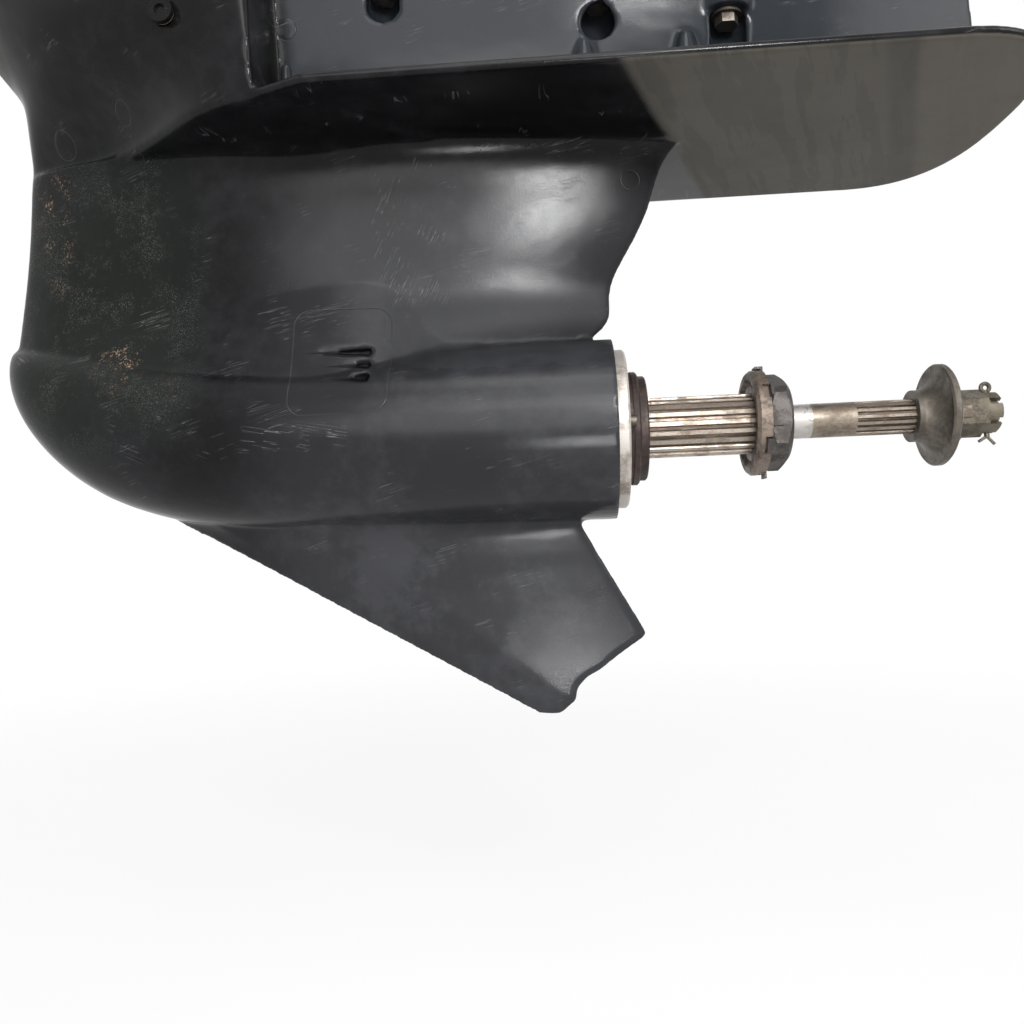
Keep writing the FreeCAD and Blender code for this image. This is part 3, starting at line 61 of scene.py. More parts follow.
def setCamera():
    yaw, pitch, roll = cameraLook["yaw"], cameraLook["pitch"], cameraLook["roll"]
    level = math.cos(pitch)
    forward = Vector((math.sin(yaw) * level, math.cos(yaw) * level, math.sin(pitch)))
    flatRight = Vector((math.cos(yaw), -math.sin(yaw), 0.0))
    flatUp = flatRight.cross(forward)
    right = math.cos(roll) * flatRight + math.sin(roll) * flatUp
    up = -math.sin(roll) * flatRight + math.cos(roll) * flatUp
    data = bpy.data.cameras.new("photo_camera")
    data.sensor_width = cameraLook["sensor"]
    data.lens = cameraLook["lens"]
    data.shift_y = cameraLook["shiftY"]
    data.clip_start = 0.01
    holder = bpy.data.objects.new("photo_camera", data)
    turn = Matrix((right, up, -forward)).transposed().to_4x4()
    holder.matrix_world = Matrix.Translation(cameraLook["place"]) @ turn
    bpy.context.collection.objects.link(holder)
    bpy.context.scene.camera = holder


setCamera()
bpy.context.scene.view_settings.view_transform = "Standard"
print("camera set")


# Node helpers: a value that is a socket is linked, anything else is set
def addNode(tree, kind, inputs=None, **settings):
    node = tree.nodes.new("ShaderNode" + kind)
    for key, value in settings.items():
        setattr(node, key, value)
    for key, value in (inputs or {}).items():
        if isinstance(value, bpy.types.NodeSocket):
            tree.links.new(value, node.inputs[key])
        else:
            node.inputs[key].default_value = value
    return node


def calc(tree, operation, first, second=0.0, clamp=False):
    node = addNode(tree, "Math", {0: first, 1: second}, operation=operation, use_clamp=clamp)
    return node.outputs[0]


def ramp(tree, value, low, high, toLow=0.0, toHigh=1.0, style="SMOOTHSTEP"):
    node = addNode(tree, "MapRange", {"Value": value, "From Min": low, "From Max": high,
                                      "To Min": toLow, "To Max": toHigh}, interpolation_type=style)
    return node.outputs[0]


def blend(tree, amount, first, second, mode="MIX"):
    node = addNode(tree, "Mix", data_type="RGBA", blend_type=mode)
    for index, value in ((0, amount), (6, first), (7, second)):
        if isinstance(value, bpy.types.NodeSocket):
            tree.links.new(value, node.inputs[index])
        elif index == 0:
            node.inputs[index].default_value = value
        else:
            node.inputs[index].default_value = (*value, 1.0)
    return node.outputs[2]


def between(tree, value, low, high, soft):
    rise = ramp(tree, value, low - soft, low + soft)
    fall = ramp(tree, value, high - soft, high + soft, 1.0, 0.0)
    return calc(tree, "MULTIPLY", rise, fall)


def product(tree, *masks):
    result = masks[0]
    for mask in masks[1:]:
        result = calc(tree, "MULTIPLY", result, mask)
    return result


def most(tree, *masks):
    result = masks[0]
    for mask in masks[1:]:
        result = calc(tree, "MAXIMUM", result, mask)
    return result


def newGroup(name, inputs, outputs):
    tree = bpy.data.node_groups.new(name, "ShaderNodeTree")
    for label, kind, value in inputs:
        socket = tree.interface.new_socket(name=label, in_out="INPUT",
                                           socket_type="NodeSocket" + kind)
        if value is not None:
            socket.default_value = value
    for label, kind in outputs:
        tree.interface.new_socket(name=label, in_out="OUTPUT", socket_type="NodeSocket" + kind)
    return tree, tree.nodes.new("NodeGroupInput").outputs, tree.nodes.new("NodeGroupOutput").inputs


def useGroup(tree, name, **inputs):
    node = tree.nodes.new("ShaderNodeGroup")
    node.node_tree = bpy.data.node_groups[name]
    for key, value in inputs.items():
        if isinstance(value, bpy.types.NodeSocket):
            tree.links.new(value, node.inputs[key])
        else:
            node.inputs[key].default_value = value
    return node.outputs


# Speckle: irregular chips whose size and share are set by the material
def makeSpeckle():
    tree, given, out = newGroup("speckle", (("Vector", "Vector", None), ("Scale", "Float", 300.0),
                                            ("Share", "Float", 0.4), ("Edge", "Float", 0.03)),
                                (("Mask", "Float"),))
    fine = addNode(tree, "TexNoise", {"Vector": given["Vector"], "Scale": given["Scale"],
                                      "Detail": 5.0, "Roughness": 0.72})
    low = calc(tree, "SUBTRACT", 1.0, given["Share"])
    high = calc(tree, "ADD", low, given["Edge"])
    tree.links.new(ramp(tree, fine.outputs["Fac"], low, high), out["Mask"])


# Scratches: thin lines along one turned direction, broken up by a patchy noise
def makeScratches():
    tree, given, out = newGroup("scratches", (("Vector", "Vector", None),
                                              ("Turn", "Vector", (0.0, 0.0, 0.0)),
                                              ("Scale", "Float", 700.0), ("Length", "Float", 0.03),
                                              ("Share", "Float", 0.1)), (("Mask", "Float"),))
    turned = addNode(tree, "Mapping", {"Vector": given["Vector"], "Rotation": given["Turn"]})
    axes = addNode(tree, "SeparateXYZ", {"Vector": turned.outputs[0]}).outputs
    joined = addNode(tree, "CombineXYZ", {"X": product(tree, axes[0], given["Length"]),
                                          "Y": product(tree, axes[1], 0.03), "Z": axes[2]})
    lines = addNode(tree, "TexNoise", {"Vector": joined.outputs[0], "Scale": given["Scale"],
                                       "Detail": 1.0})
    patches = addNode(tree, "TexNoise", {"Vector": given["Vector"], "Detail": 3.0,
                                         "Scale": product(tree, given["Scale"], 0.05)})
    thin = between(tree, lines.outputs["Fac"], 0.588, 0.612, 0.010)
    low = calc(tree, "SUBTRACT", 0.70, given["Share"])
    where = ramp(tree, patches.outputs["Fac"], low, calc(tree, "ADD", low, 0.08))
    tree.links.new(product(tree, thin, where), out["Mask"])


# Grime: cloudy stain in two sizes that gathers in blotches
def makeGrime():
    tree, given, out = newGroup("grime", (("Vector", "Vector", None), ("Scale", "Float", 40.0),
                                          ("Level", "Float", 0.5), ("Soft", "Float", 0.15)),
                                (("Mask", "Float"),))
    broad = addNode(tree, "TexNoise", {"Vector": given["Vector"], "Scale": given["Scale"],
                                       "Detail": 3.0, "Roughness": 0.5})
    fine = addNode(tree, "TexNoise", {"Vector": given["Vector"], "Detail": 5.0, "Roughness": 0.7,
                                      "Scale": product(tree, given["Scale"], 6.3)})
    both = calc(tree, "ADD", product(tree, broad.outputs["Fac"], 0.62),
                product(tree, fine.outputs["Fac"], 0.38))
    low = calc(tree, "SUBTRACT", given["Level"], given["Soft"])
    high = calc(tree, "ADD", given["Level"], given["Soft"])
    tree.links.new(ramp(tree, both, low, high), out["Mask"])


# Turned: fine rings left by a lathe round one axis, as a height
def makeTurned():
    tree, given, out = newGroup("turned", (("Along", "Float", None), ("Vector", "Vector", None),
                                           ("Pitch", "Float", 0.0004)), (("Height", "Float"),))
    steps = calc(tree, "DIVIDE", given["Along"], given["Pitch"])
    drift = addNode(tree, "TexNoise", {"Vector": given["Vector"], "Scale": 90.0, "Detail": 2.0})
    wander = calc(tree, "ADD", steps, product(tree, drift.outputs["Fac"], 0.8))
    line = addNode(tree, "TexNoise", {"W": wander, "Scale": 1.0, "Detail": 3.0},
                   noise_dimensions="1D")
    tree.links.new(line.outputs["Fac"], out["Height"])


# Peel: orange peel of sprayed paint over the soft waves of a casting, as a height
def makePeel():
    tree, given, out = newGroup("peel", (("Vector", "Vector", None), ("Fine", "Float", 650.0),
                                         ("Wave", "Float", 28.0), ("Share", "Float", 0.25)),
                                (("Height", "Float"),))
    fine = addNode(tree, "TexNoise", {"Vector": given["Vector"], "Scale": given["Fine"],
                                      "Detail": 3.0, "Roughness": 0.6})
    wave = addNode(tree, "TexNoise", {"Vector": given["Vector"], "Scale": given["Wave"],
                                      "Detail": 1.0})
    fineShare = product(tree, fine.outputs["Fac"], given["Share"])
    tree.links.new(calc(tree, "ADD", wave.outputs["Fac"], fineShare), out["Height"])


# Seam: the line of a rounded rectangle in the side view. A circle is one with no straight sides.
def makeSeam():
    tree, given, out = newGroup("seam", (("Vector", "Vector", None),
                                         ("Center", "Vector", (0.0, 0.0, 0.0)),
                                         ("HalfX", "Float", 0.0), ("HalfZ", "Float", 0.0),
                                         ("Corner", "Float", 0.008), ("Width", "Float", 0.0004)),
                                (("Line", "Float"),))
    local = addNode(tree, "VectorMath", {0: given["Vector"], 1: given["Center"]},
                    operation="SUBTRACT")
    axes = addNode(tree, "SeparateXYZ", {"Vector": local.outputs[0]}).outputs
    pastX = calc(tree, "SUBTRACT", calc(tree, "ABSOLUTE", axes[0]), given["HalfX"])
    pastZ = calc(tree, "SUBTRACT", calc(tree, "ABSOLUTE", axes[2]), given["HalfZ"])
    overX = calc(tree, "MAXIMUM", pastX, 0.0)
    overZ = calc(tree, "MAXIMUM", pastZ, 0.0)
    reach = calc(tree, "SQRT", calc(tree, "ADD", product(tree, overX, overX),
                                    product(tree, overZ, overZ)))
    off = calc(tree, "SUBTRACT", reach, given["Corner"])
    line = ramp(tree, calc(tree, "ABSOLUTE", off), 0.0, given["Width"], 1.0, 0.0)
    tree.links.new(line, out["Line"])


for make in (makeSpeckle, makeScratches, makeGrime, makeTurned, makePeel, makeSeam):
    make()
print("shader groups made")


def newMaterial(name):
    material = bpy.data.materials.new(name)
    material.use_nodes = True
    tree = material.node_tree
    tree.nodes.clear()
    output = tree.nodes.new("ShaderNodeOutputMaterial")
    shader = addNode(tree, "BsdfPrincipled")
    tree.links.new(shader.outputs[0], output.inputs[0])
    place = addNode(tree, "TexCoord").outputs["Object"]
    return material, tree, shader, place


def feed(tree, shader, **links):
    names = {"color": "Base Color", "rough": "Roughness", "metal": "Metallic", "normal": "Normal"}
    for key, value in links.items():
        socket = shader.inputs[names[key]]
        if isinstance(value, bpy.types.NodeSocket):
            tree.links.new(value, socket)
        elif key == "color":
            socket.default_value = (*value, 1.0)
        else:
            socket.default_value = value


def bump(tree, height, strength, distance, normal=None):
    inputs = {"Height": height, "Strength": strength, "Distance": distance}
    if normal is not None:
        inputs["Normal"] = normal
    return addNode(tree, "Bump", inputs).outputs[0]


# Paint of the casting. Zones are x from, x to, height from, height to, over the propeller axis.
paintLook = {
    "black": (0.0036, 0.0036, 0.0040),
    # bluish grey of the haze, also the colour of the painted sheen that stands in for reflections
    "hazeAndSheen": (0.0330, 0.0335, 0.0375),
    # painted sheen: lighter bluish grey on the recessed upper body aft of the step
    "recessSheen": (0.0170, 0.0200, 0.0240),
    "olive": (0.0250, 0.0240, 0.0190),
    "noseDark": (0.0052, 0.0068, 0.0055),
    "dust": (0.100, 0.112, 0.095),
    "tan": (0.330, 0.225, 0.155),
    "scratch": (0.220, 0.220, 0.215),
    "plateBrown": (0.066, 0.060, 0.050),
    "plateDark": (0.044, 0.040, 0.034),
    "plateRim": (0.080, 0.071, 0.058),
    # painted shade: near black inside the inlet slots
    "slotShade": (0.001, 0.001, 0.001),
    "specular": 0.15,
    # layers of colour over the black, and over the plate's brown: mask, colour, amount
    "layers": (("recessSheen", "recessSheen", 0.8), ("worn", "noseDark", 0.8), ("scratch", "scratch", 0.6),
               ("marks", "scratch", 0.055), ("dust", "dust", 0.8), ("tan", "tan", 0.8),
               ("front", "olive", 1.0), ("inlets", "slotShade", 1.0)),
    "plateLayers": (("pools", "plateDark", 0.5), ("rim", "plateRim", 0.7),
                    ("edges", "plateRim", 0.35), ("band", "plateDark", 0.6)),
    # roughness of clean paint, and what each mask adds to it
    "cleanRough": 0.15,
    "dulling": (("hazeAndSheen", 0.07), ("worn", 0.14), ("chips", 0.4), ("scratch", 0.15), ("brown", 0.36),
                ("hollow", 0.30), ("inlets", 0.40), ("front", 0.25)),
    # painted sheen, a lighter film over the middle of the strut, the torpedo and the skeg: zone and
    # amount
    "thinFilm": 0.20,
    "sheenZones": ((-0.020, 0.330, -0.320, 0.175, 0.40), (0.090, 0.300, 0.000, 0.042, 0.30),
                  (-0.140, 0.330, -0.320, -0.045, 0.35)),
    # dull hollow between the strut's rear part and the torpedo
    "hollow": (0.070, 0.260, 0.046, 0.104),
    # inlet slots: x of the front tip and height of each, x of the rear holes, half width there
    "slots": ((0.004, 0.0595), (0.020, 0.0485), (0.030, 0.0375)),
    "slotHole": 0.054,
    "slotHalf": 0.0027,
    "wornZone": (-0.222, -0.082, 0.010, 0.205),
    "tanZones": ((-0.204, -0.176, 0.155, 0.205), (-0.146, -0.116, 0.042, 0.076),
                 (-0.094, -0.080, 0.028, 0.044), (-0.190, -0.170, 0.120, 0.150)),
    # scratch fields: zone, turn in the side view, share
    "fields": (((-0.124, -0.096, 0.088, 0.104), 0.26, 0.30),
               ((-0.130, -0.058, -0.014, 0.022), -0.43, 0.20),
               ((-0.034, 0.044, -0.010, 0.006), -0.18, 0.24),
               ((0.060, 0.114, 0.096, 0.202), 1.12, 0.20),
               ((0.205, 0.232, -0.009, 0.002), 0.29, 0.22),
               ((-0.235, -0.205, 0.060, 0.080), -0.60, 0.18)),
    # marks left by the mould: centre x and height, half sizes of the straight sides, corner
    "marks": ((0.0358, 0.0527, 0.0233, 0.0282, 0.012), (-0.1740, 0.2300, 0.0, 0.0, 0.0085),
              (0.249, 0.185, 0.0, 0.0, 0.0070), (0.0091, 0.2846, 0.0, 0.0, 0.0070),
              (-0.113, 0.2360, 0.0, 0.0, 0.0060)),
    "markWidth": 0.0006,
    # lines of equal shade on the plate run a little aslant
    "plateSlant": 0.37,
    # the brown begins aft of this slanted line; the black left forward of it is painted reflection
    # of the strut
    "plateReflectionEnd": 0.281,
    "plateBand": (0.441, 0.460),
}


def makePaint():
    material, tree, shader, place = newMaterial("gloss_black_paint")
    look = paintLook
    axes = addNode(tree, "SeparateXYZ", {"Vector": place}).outputs
    x, y = axes[0], axes[1]
    height = calc(tree, "SUBTRACT", axes[2], axisZ)
    faces = addNode(tree, "TexCoord").outputs["Normal"]
    normalZ = addNode(tree, "SeparateXYZ", {"Vector": faces}).outputs[2]

    def zone(box, soft):
        along = between(tree, x, box[0], box[1], soft)
        return product(tree, along, between(tree, height, box[2], box[3], soft))

    # Worn nose: dull greenish paint, dust-grey pits in clusters and tan chips
    worn = zone(look["wornZone"], 0.030)
    clusters = useGroup(tree, "grime", Vector=place, Scale=30.0, Level=0.525, Soft=0.06)["Mask"]
    pits = useGroup(tree, "speckle", Vector=place, Scale=1250.0, Share=0.44, Edge=0.04)["Mask"]
    dust = product(tree, worn, clusters, pits)
    tanArea = most(tree, *[zone(box, 0.010) for box in look["tanZones"]])
    tanClusters = useGroup(tree, "grime", Vector=place, Scale=75.0, Level=0.545, Soft=0.05)["Mask"]
    tanPits = useGroup(tree, "speckle", Vector=place, Scale=620.0, Share=0.46, Edge=0.05)["Mask"]
    tan = product(tree, tanArea, tanClusters, tanPits)

    # Scratch fields where the photograph has them, and faint ones all over
    faint = useGroup(tree, "scratches", Vector=place, Turn=(0.0, 0.25, 0.0), Share=0.12)["Mask"]
    scratch = product(tree, faint, 0.35)
    for index, (box, turn, share) in enumerate(look["fields"]):
        lines = useGroup(tree, "scratches", Vector=place, Turn=(0.0, turn, 0.0),
                         Scale=820.0 + 60.0 * index, Share=share)["Mask"]
        scratch = most(tree, scratch, product(tree, zone(box, 0.004), lines))
    # patchy haze, which also drives part of the painted sheen
    hazeAndSheen = useGroup(tree, "grime", Vector=place, Scale=11.0, Level=0.53, Soft=0.12)["Mask"]

    # Marks of the mould
    nearSide = ramp(tree, y, -0.002, 0.002, 1.0, 0.0)
    marks = None
    for centerX, centerHeight, halfX, halfZ, corner in look["marks"]:
        line = useGroup(tree, "seam", Vector=place, Center=(centerX, 0.0, centerHeight + axisZ),
                        HalfX=halfX, HalfZ=halfZ, Corner=corner, Width=look["markWidth"])["Line"]
        marks = line if marks is None else most(tree, marks, line)
    marks = product(tree, marks, nearSide)

    # Inlet slots: painted shade, black inside, widening from a tip to a round hole
    inlets = None
    for tip, slotHeight in look["slots"]:
        width = ramp(tree, x, tip, look["slotHole"], 0.0, look["slotHalf"], "LINEAR")
        off = calc(tree, "ABSOLUTE", calc(tree, "SUBTRACT", height, slotHeight))
        inside = ramp(tree, calc(tree, "SUBTRACT", off, width), -0.0006, 0.0004, 1.0, 0.0)
        length = between(tree, x, tip, look["slotHole"] + look["slotHalf"], 0.0006)
        slot = product(tree, inside, length)
        inlets = slot if inlets is None else most(tree, inlets, slot)

    # Underside of the plate: brown film with watery runs, a dark band and a paler rim; forward of a
    # slanted line it stays black as painted reflection of the strut
    across = calc(tree, "SUBTRACT", x, product(tree, y, look["plateSlant"]))
    down = ramp(tree, normalZ, -0.55, -0.85)
    under = product(tree, down, between(tree, height, 0.2125, 0.2185, 0.0010))
    start = look["plateReflectionEnd"]
    brown = product(tree, under, ramp(tree, across, start - 0.005, start + 0.005))
    slim = addNode(tree, "CombineXYZ", {"X": across, "Y": product(tree, y, 0.13)})
    flow = addNode(tree, "TexNoise", {"Vector": slim.outputs[0], "Scale": 62.0, "Detail": 5.0,
                                      "Roughness": 0.6})
    pools = ramp(tree, flow.outputs["Fac"], 0.46, 0.54)
    edges = between(tree, flow.outputs["Fac"], 0.485, 0.515, 0.012)
    band = between(tree, across, look["plateBand"][0], look["plateBand"][1], 0.004)
    rim = ramp(tree, across, look["plateBand"][1] - 0.004, look["plateBand"][1] + 0.006)

    masks = {
        "hazeAndSheen": hazeAndSheen, "worn": worn, "scratch": scratch, "marks": marks, "dust": dust, "tan": tan,
        "chips": most(tree, dust, tan), "inlets": inlets, "brown": brown, "pools": pools,
        "edges": edges, "band": band, "rim": rim, "hollow": zone(look["hollow"], 0.012),
        # painted sheen on the upper body aft of the step
        "recessSheen": product(tree, ramp(tree, x, 0.004, 0.012), ramp(tree, height, 0.2195, 0.2225)),
        "front": product(tree, ramp(tree, x, -0.19, -0.21), ramp(tree, height, 0.262, 0.285)),
    }

    def layered(color, layers):
        for mask, name, amount in layers:
            color = blend(tree, product(tree, masks[mask], amount), color, look[name])
        return color

    # painted sheen: patchy haze all over, more in the sheen zones, blends the black towards a
    # bluish grey in place of reflections
    filmAndSheen = product(tree, hazeAndSheen, look["thinFilm"])
    for box in look["sheenZones"]:
        filmAndSheen = calc(tree, "ADD", filmAndSheen, product(tree, zone(box, 0.035), box[4]))
    patchy = ramp(tree, hazeAndSheen, 0.0, 1.0, 0.85, 1.15)
    filmAndSheen = calc(tree, "MULTIPLY", filmAndSheen, patchy, clamp=True)
    color = layered(blend(tree, filmAndSheen, look["black"], look["hazeAndSheen"]), look["layers"])
    color = blend(tree, brown, color, layered(look["plateBrown"], look["plateLayers"]))

    rough = look["cleanRough"]
    for mask, amount in look["dulling"]:
        rough = calc(tree, "ADD", rough, product(tree, masks[mask], amount))
    rough = calc(tree, "MINIMUM", rough, 1.0)

    peel = useGroup(tree, "peel", Vector=place, Fine=900.0, Wave=22.0, Share=0.22)["Height"]
    normal = bump(tree, peel, 0.55, 0.0006)
    cuts = product(tree, most(tree, scratch, dust, tan), -1.0)
    normal = bump(tree, cuts, 0.4, 0.00025, normal)
    normal = bump(tree, product(tree, marks, -1.0), 0.5, 0.0004, normal)
    feed(tree, shader, color=color, rough=rough, normal=normal)
    shader.inputs["Specular IOR Level"].default_value = look["specular"]
    return material


# Metals: one recipe with its own stain, grooves and polish
metalLooks = {
    "carrier_metal": {
        "base": (0.440, 0.408, 0.378), "stain": (0.200, 0.165, 0.135), "metal": 0.6,
        "rough": 0.50, "level": 0.55, "pitch": 0.0005, "groove": 0.25, "scale": 45.0,
    },
    "shaft_metal": {
        "base": (0.300, 0.265, 0.225), "stain": (0.110, 0.083, 0.062), "metal": 0.9,
        "rough": 0.36, "level": 0.50, "pitch": 0.0003, "groove": 0.2, "scale": 60.0,
    },
    "gear_metal": {
        "base": (0.420, 0.420, 0.430), "stain": (0.160, 0.130, 0.100), "metal": 1.0,
        "rough": 0.28, "level": 0.60, "pitch": 0.0003, "groove": 0.15, "scale": 50.0,
    },
    "nut_metal": {
        "base": (0.082, 0.074, 0.070), "stain": (0.040, 0.034, 0.031), "metal": 0.7,
        "rough": 0.42, "level": 0.50, "pitch": 0.0006, "groove": 0.15, "scale": 60.0,
    },
    "castle_metal": {
        "base": (0.125, 0.109, 0.082), "stain": (0.060, 0.050, 0.038), "metal": 0.7,
        "rough": 0.46, "level": 0.50, "pitch": 0.0006, "groove": 0.15, "scale": 80.0,
    },
    "ring_metal": {
        "base": (0.165, 0.130, 0.105), "stain": (0.052, 0.040, 0.033), "metal": 0.6,
        "rough": 0.48, "level": 0.50, "pitch": 0.0004, "groove": 0.3, "scale": 55.0,
    },
    "hub_metal": {
        "base": (0.048, 0.032, 0.027), "stain": (0.020, 0.014, 0.012), "metal": 0.5,
        "rough": 0.46, "level": 0.50, "pitch": 0.0004, "groove": 0.3, "scale": 60.0,
    },
    "cone_metal": {
        "base": (0.110, 0.097, 0.080), "stain": (0.062, 0.053, 0.043), "metal": 0.7,
        "rough": 0.44, "level": 0.52, "pitch": 0.0004, "groove": 0.3, "scale": 42.0,
    },
    "tab_metal": {
        "base": (0.230, 0.190, 0.150), "stain": (0.080, 0.062, 0.048), "metal": 0.7,
        "rough": 0.45, "level": 0.50, "pitch": 0.0006, "groove": 0.15, "scale": 90.0,
    },
    "bolt_metal": {
        "base": (0.150, 0.135, 0.118), "stain": (0.060, 0.048, 0.037), "metal": 0.9,
        "rough": 0.38, "level": 0.52, "pitch": 0.0005, "groove": 0.2, "scale": 90.0,
    },
}


def makeMetal(name, look):
    material, tree, shader, place = newMaterial(name)
    along = addNode(tree, "SeparateXYZ", {"Vector": place}).outputs[0]
    stain = useGroup(tree, "grime", Vector=place, Scale=look["scale"], Level=look["level"],
                     Soft=0.08)["Mask"]
    pits = useGroup(tree, "speckle", Vector=place, Scale=900.0, Share=0.40, Edge=0.08)["Mask"]
    scratch = useGroup(tree, "scratches", Vector=place, Turn=(0.0, 0.1, 0.0), Scale=1500.0,
                       Length=0.06, Share=0.2)["Mask"]
    color = blend(tree, product(tree, stain, 0.85), look["base"], look["stain"])
    color = blend(tree, product(tree, pits, 0.35), color, look["stain"])
    rough = calc(tree, "ADD", look["rough"], product(tree, stain, 0.18))
    rough = calc(tree, "SUBTRACT", rough, product(tree, scratch, 0.12), clamp=True)
    rings = useGroup(tree, "turned", Along=along, Vector=place, Pitch=look["pitch"])["Height"]
    normal = bump(tree, rings, look["groove"], 0.0002)
    normal = bump(tree, product(tree, pits, -1.0), 0.25, 0.00015, normal)
    feed(tree, shader, color=color, rough=rough, metal=look["metal"], normal=normal)
    return material


# Propeller shafts: worn bright on the splines' tips, dark between them, with one polished band
shaftLooks = {
    "outer_shaft_metal": {
        "tip": (0.370, 0.320, 0.270), "floor": (0.085, 0.064, 0.050), "plain": (0.20, 0.165, 0.135),
        "stain": (0.130, 0.098, 0.072), "level": 0.54,
        "tipR": 0.0223, "floorR": 0.0208, "splines": (0.2530, 0.3560), "band": (0.3562, 0.3575),
    },
    "inner_shaft_metal": {
        "tip": (0.270, 0.230, 0.190), "floor": (0.060, 0.045, 0.033), "plain": (0.23, 0.195, 0.155),
        "stain": (0.090, 0.066, 0.047), "level": 0.50,
        "tipR": 0.0126, "floorR": 0.0114, "splines": (0.4065, 0.4800), "band": (0.3560, 0.3745),
    },
}


def makeShaft(name, look):
    material, tree, shader, place = newMaterial(name)
    axes = addNode(tree, "SeparateXYZ", {"Vector": place}).outputs
    x, y = axes[0], axes[1]
    z = calc(tree, "SUBTRACT", axes[2], axisZ)
    fromAxis = calc(tree, "SQRT", calc(tree, "ADD", product(tree, y, y), product(tree, z, z)))
    onTip = ramp(tree, fromAxis, look["floorR"], look["tipR"])
    stain = useGroup(tree, "grime", Vector=place, Scale=70.0, Level=look["level"],
                     Soft=0.09)["Mask"]
    rust = useGroup(tree, "speckle", Vector=place, Scale=420.0, Share=0.46, Edge=0.10)["Mask"]
    scratch = useGroup(tree, "scratches", Vector=place, Scale=1700.0, Length=0.03,
                       Share=0.30)["Mask"]
    splines = between(tree, x, look["splines"][0], look["splines"][1], 0.0006)
    band = between(tree, x, look["band"][0], look["band"][1], 0.0007)
    splined = blend(tree, onTip, look["floor"], look["tip"])
    color = blend(tree, splines, look["plain"], splined)
    color = blend(tree, product(tree, stain, 0.75), color, look["stain"])
    color = blend(tree, product(tree, rust, 0.45), color, look["stain"])
    color = blend(tree, product(tree, scratch, 0.35), color, (0.5, 0.46, 0.42))
    color = blend(tree, product(tree, band, 0.9), color, (0.42, 0.40, 0.38))
    rough = calc(tree, "ADD", 0.34, product(tree, stain, 0.20))
    rough = calc(tree, "SUBTRACT", rough, product(tree, band, 0.14), clamp=True)
    metal = ramp(tree, stain, 0.0, 1.0, 0.92, 0.55, "LINEAR")
    normal = bump(tree, product(tree, rust, -1.0), 0.3, 0.0002)
    feed(tree, shader, color=color, rough=rough, metal=metal, normal=normal)
    return material


# Plastics, rubber and gasket
softLooks = {
    "seal_rubber": {"base": (0.018, 0.017, 0.017), "worn": (0.05, 0.045, 0.04), "rough": 0.62},
    "pump_nylon": {"base": (0.022, 0.022, 0.023), "worn": (0.06, 0.058, 0.055), "rough": 0.52},
    "gasket_paper": {"base": (0.17, 0.12, 0.075), "worn": (0.08, 0.055, 0.035), "rough": 0.85},
}


def makeSoft(name, look):
    material, tree, shader, place = newMaterial(name)
    dust = useGroup(tree, "grime", Vector=place, Scale=70.0, Level=0.54, Soft=0.10)["Mask"]
    grain = useGroup(tree, "speckle", Vector=place, Scale=900.0, Share=0.45, Edge=0.1)["Mask"]
    color = blend(tree, dust, look["base"], look["worn"])
    rough = calc(tree, "ADD", look["rough"], product(tree, dust, 0.12), clamp=True)
    feed(tree, shader, color=color, rough=rough, normal=bump(tree, grain, 0.2, 0.0002))
    return material


finishes = {"gloss_black_paint": makePaint()}
for name, look in metalLooks.items():
    finishes[name] = makeMetal(name, look)
for name, look in shaftLooks.items():
    finishes[name] = makeShaft(name, look)
for name, look in softLooks.items():
    finishes[name] = makeSoft(name, look)
print("finishes made")

slotFinish = {
    "gloss_black_paint": "gloss_black_paint",
    "cast_aluminium": "carrier_metal",
    "stainless": "bolt_metal",
    "shaft_steel": "shaft_metal",
    "gear_steel": "gear_metal",
    "dark_steel": "nut_metal",
    "dark_bronze": "hub_metal",
    "rubber": "seal_rubber",
    "pump_plastic": "pump_nylon",
    "gasket_fibre": "gasket_paper",
}
nodeFinish = {
    "outer_prop_shaft": "outer_shaft_metal",
    "inner_prop_shaft": "inner_shaft_metal",
    "front_thrust_ring": "ring_metal",
    "front_tab_washer": "nut_metal",
    "rear_thrust_hub": "cone_metal",
    "rear_tab_washer": "tab_metal",
    "castle_nut": "castle_metal",
    "cotter_pin": "castle_metal",
    "oil_level_screw": "gloss_black_paint",
}
slotOf = {part["node"]: part["material_slot"] for part in frame["record"]["subparts"]}
for name, piece in nodes.items():
    piece.data.materials.clear()
    piece.data.materials.append(finishes[nodeFinish.get(name, slotFinish[slotOf[name]])])
print("finishes given to the CAD nodes")


# Skin of the casting: the housing's solid, remeshed and softened as a sand casting is
skinLook = {
    "voxel": 0.0017,
    "softRounds": 14,      # small rounding of every edge
    "softBack": -0.37,     # share of each round that is given back, so thin edges keep their place
    "edgeRounds": 30,      # more rounds along the skeg's edges and the step of the upper body
    "filletRounds": 90,    # large rounding of the inner corners outside
    "hollowRounds": 12,
    "hollowFrom": 0.00003,
    "hollowTo": 0.00013,
    "rimX": 0.218,         # machined rim of the torpedo: x from, radius from and to
    "rimRadius": (0.050, 0.068),
    "topZ": -0.001,
    "skegHeight": -0.066,
    "step": (0.035, 0.2165),
    "filletTop": -0.118,   # fillets lie under the plate and outside this radius
    "filletRadius": 0.060,
    # no fillets where the strut is thin (half width, x from, x to, z) and round the inlets
    "thinStrut": (0.021, 0.09, 0.205, -0.29),
    "inlets": (0.028, 0.034, 0.050, 0.020),
    # raised discs: x, height over the propeller axis, radius, rise
    "discs": ((-0.174, 0.2300, 0.0085, 0.0006), (0.0091, 0.2846, 0.0070, 0.0004)),
}


def neighbourMean(values, edges, counts):
    total = np.zeros_like(values)
    for column in range(values.shape[1]):
        for here, there in ((0, 1), (1, 0)):
            other = values[edges[:, there], column]
            total[:, column] += np.bincount(edges[:, here], other, len(values))
    return total / counts[:, None]


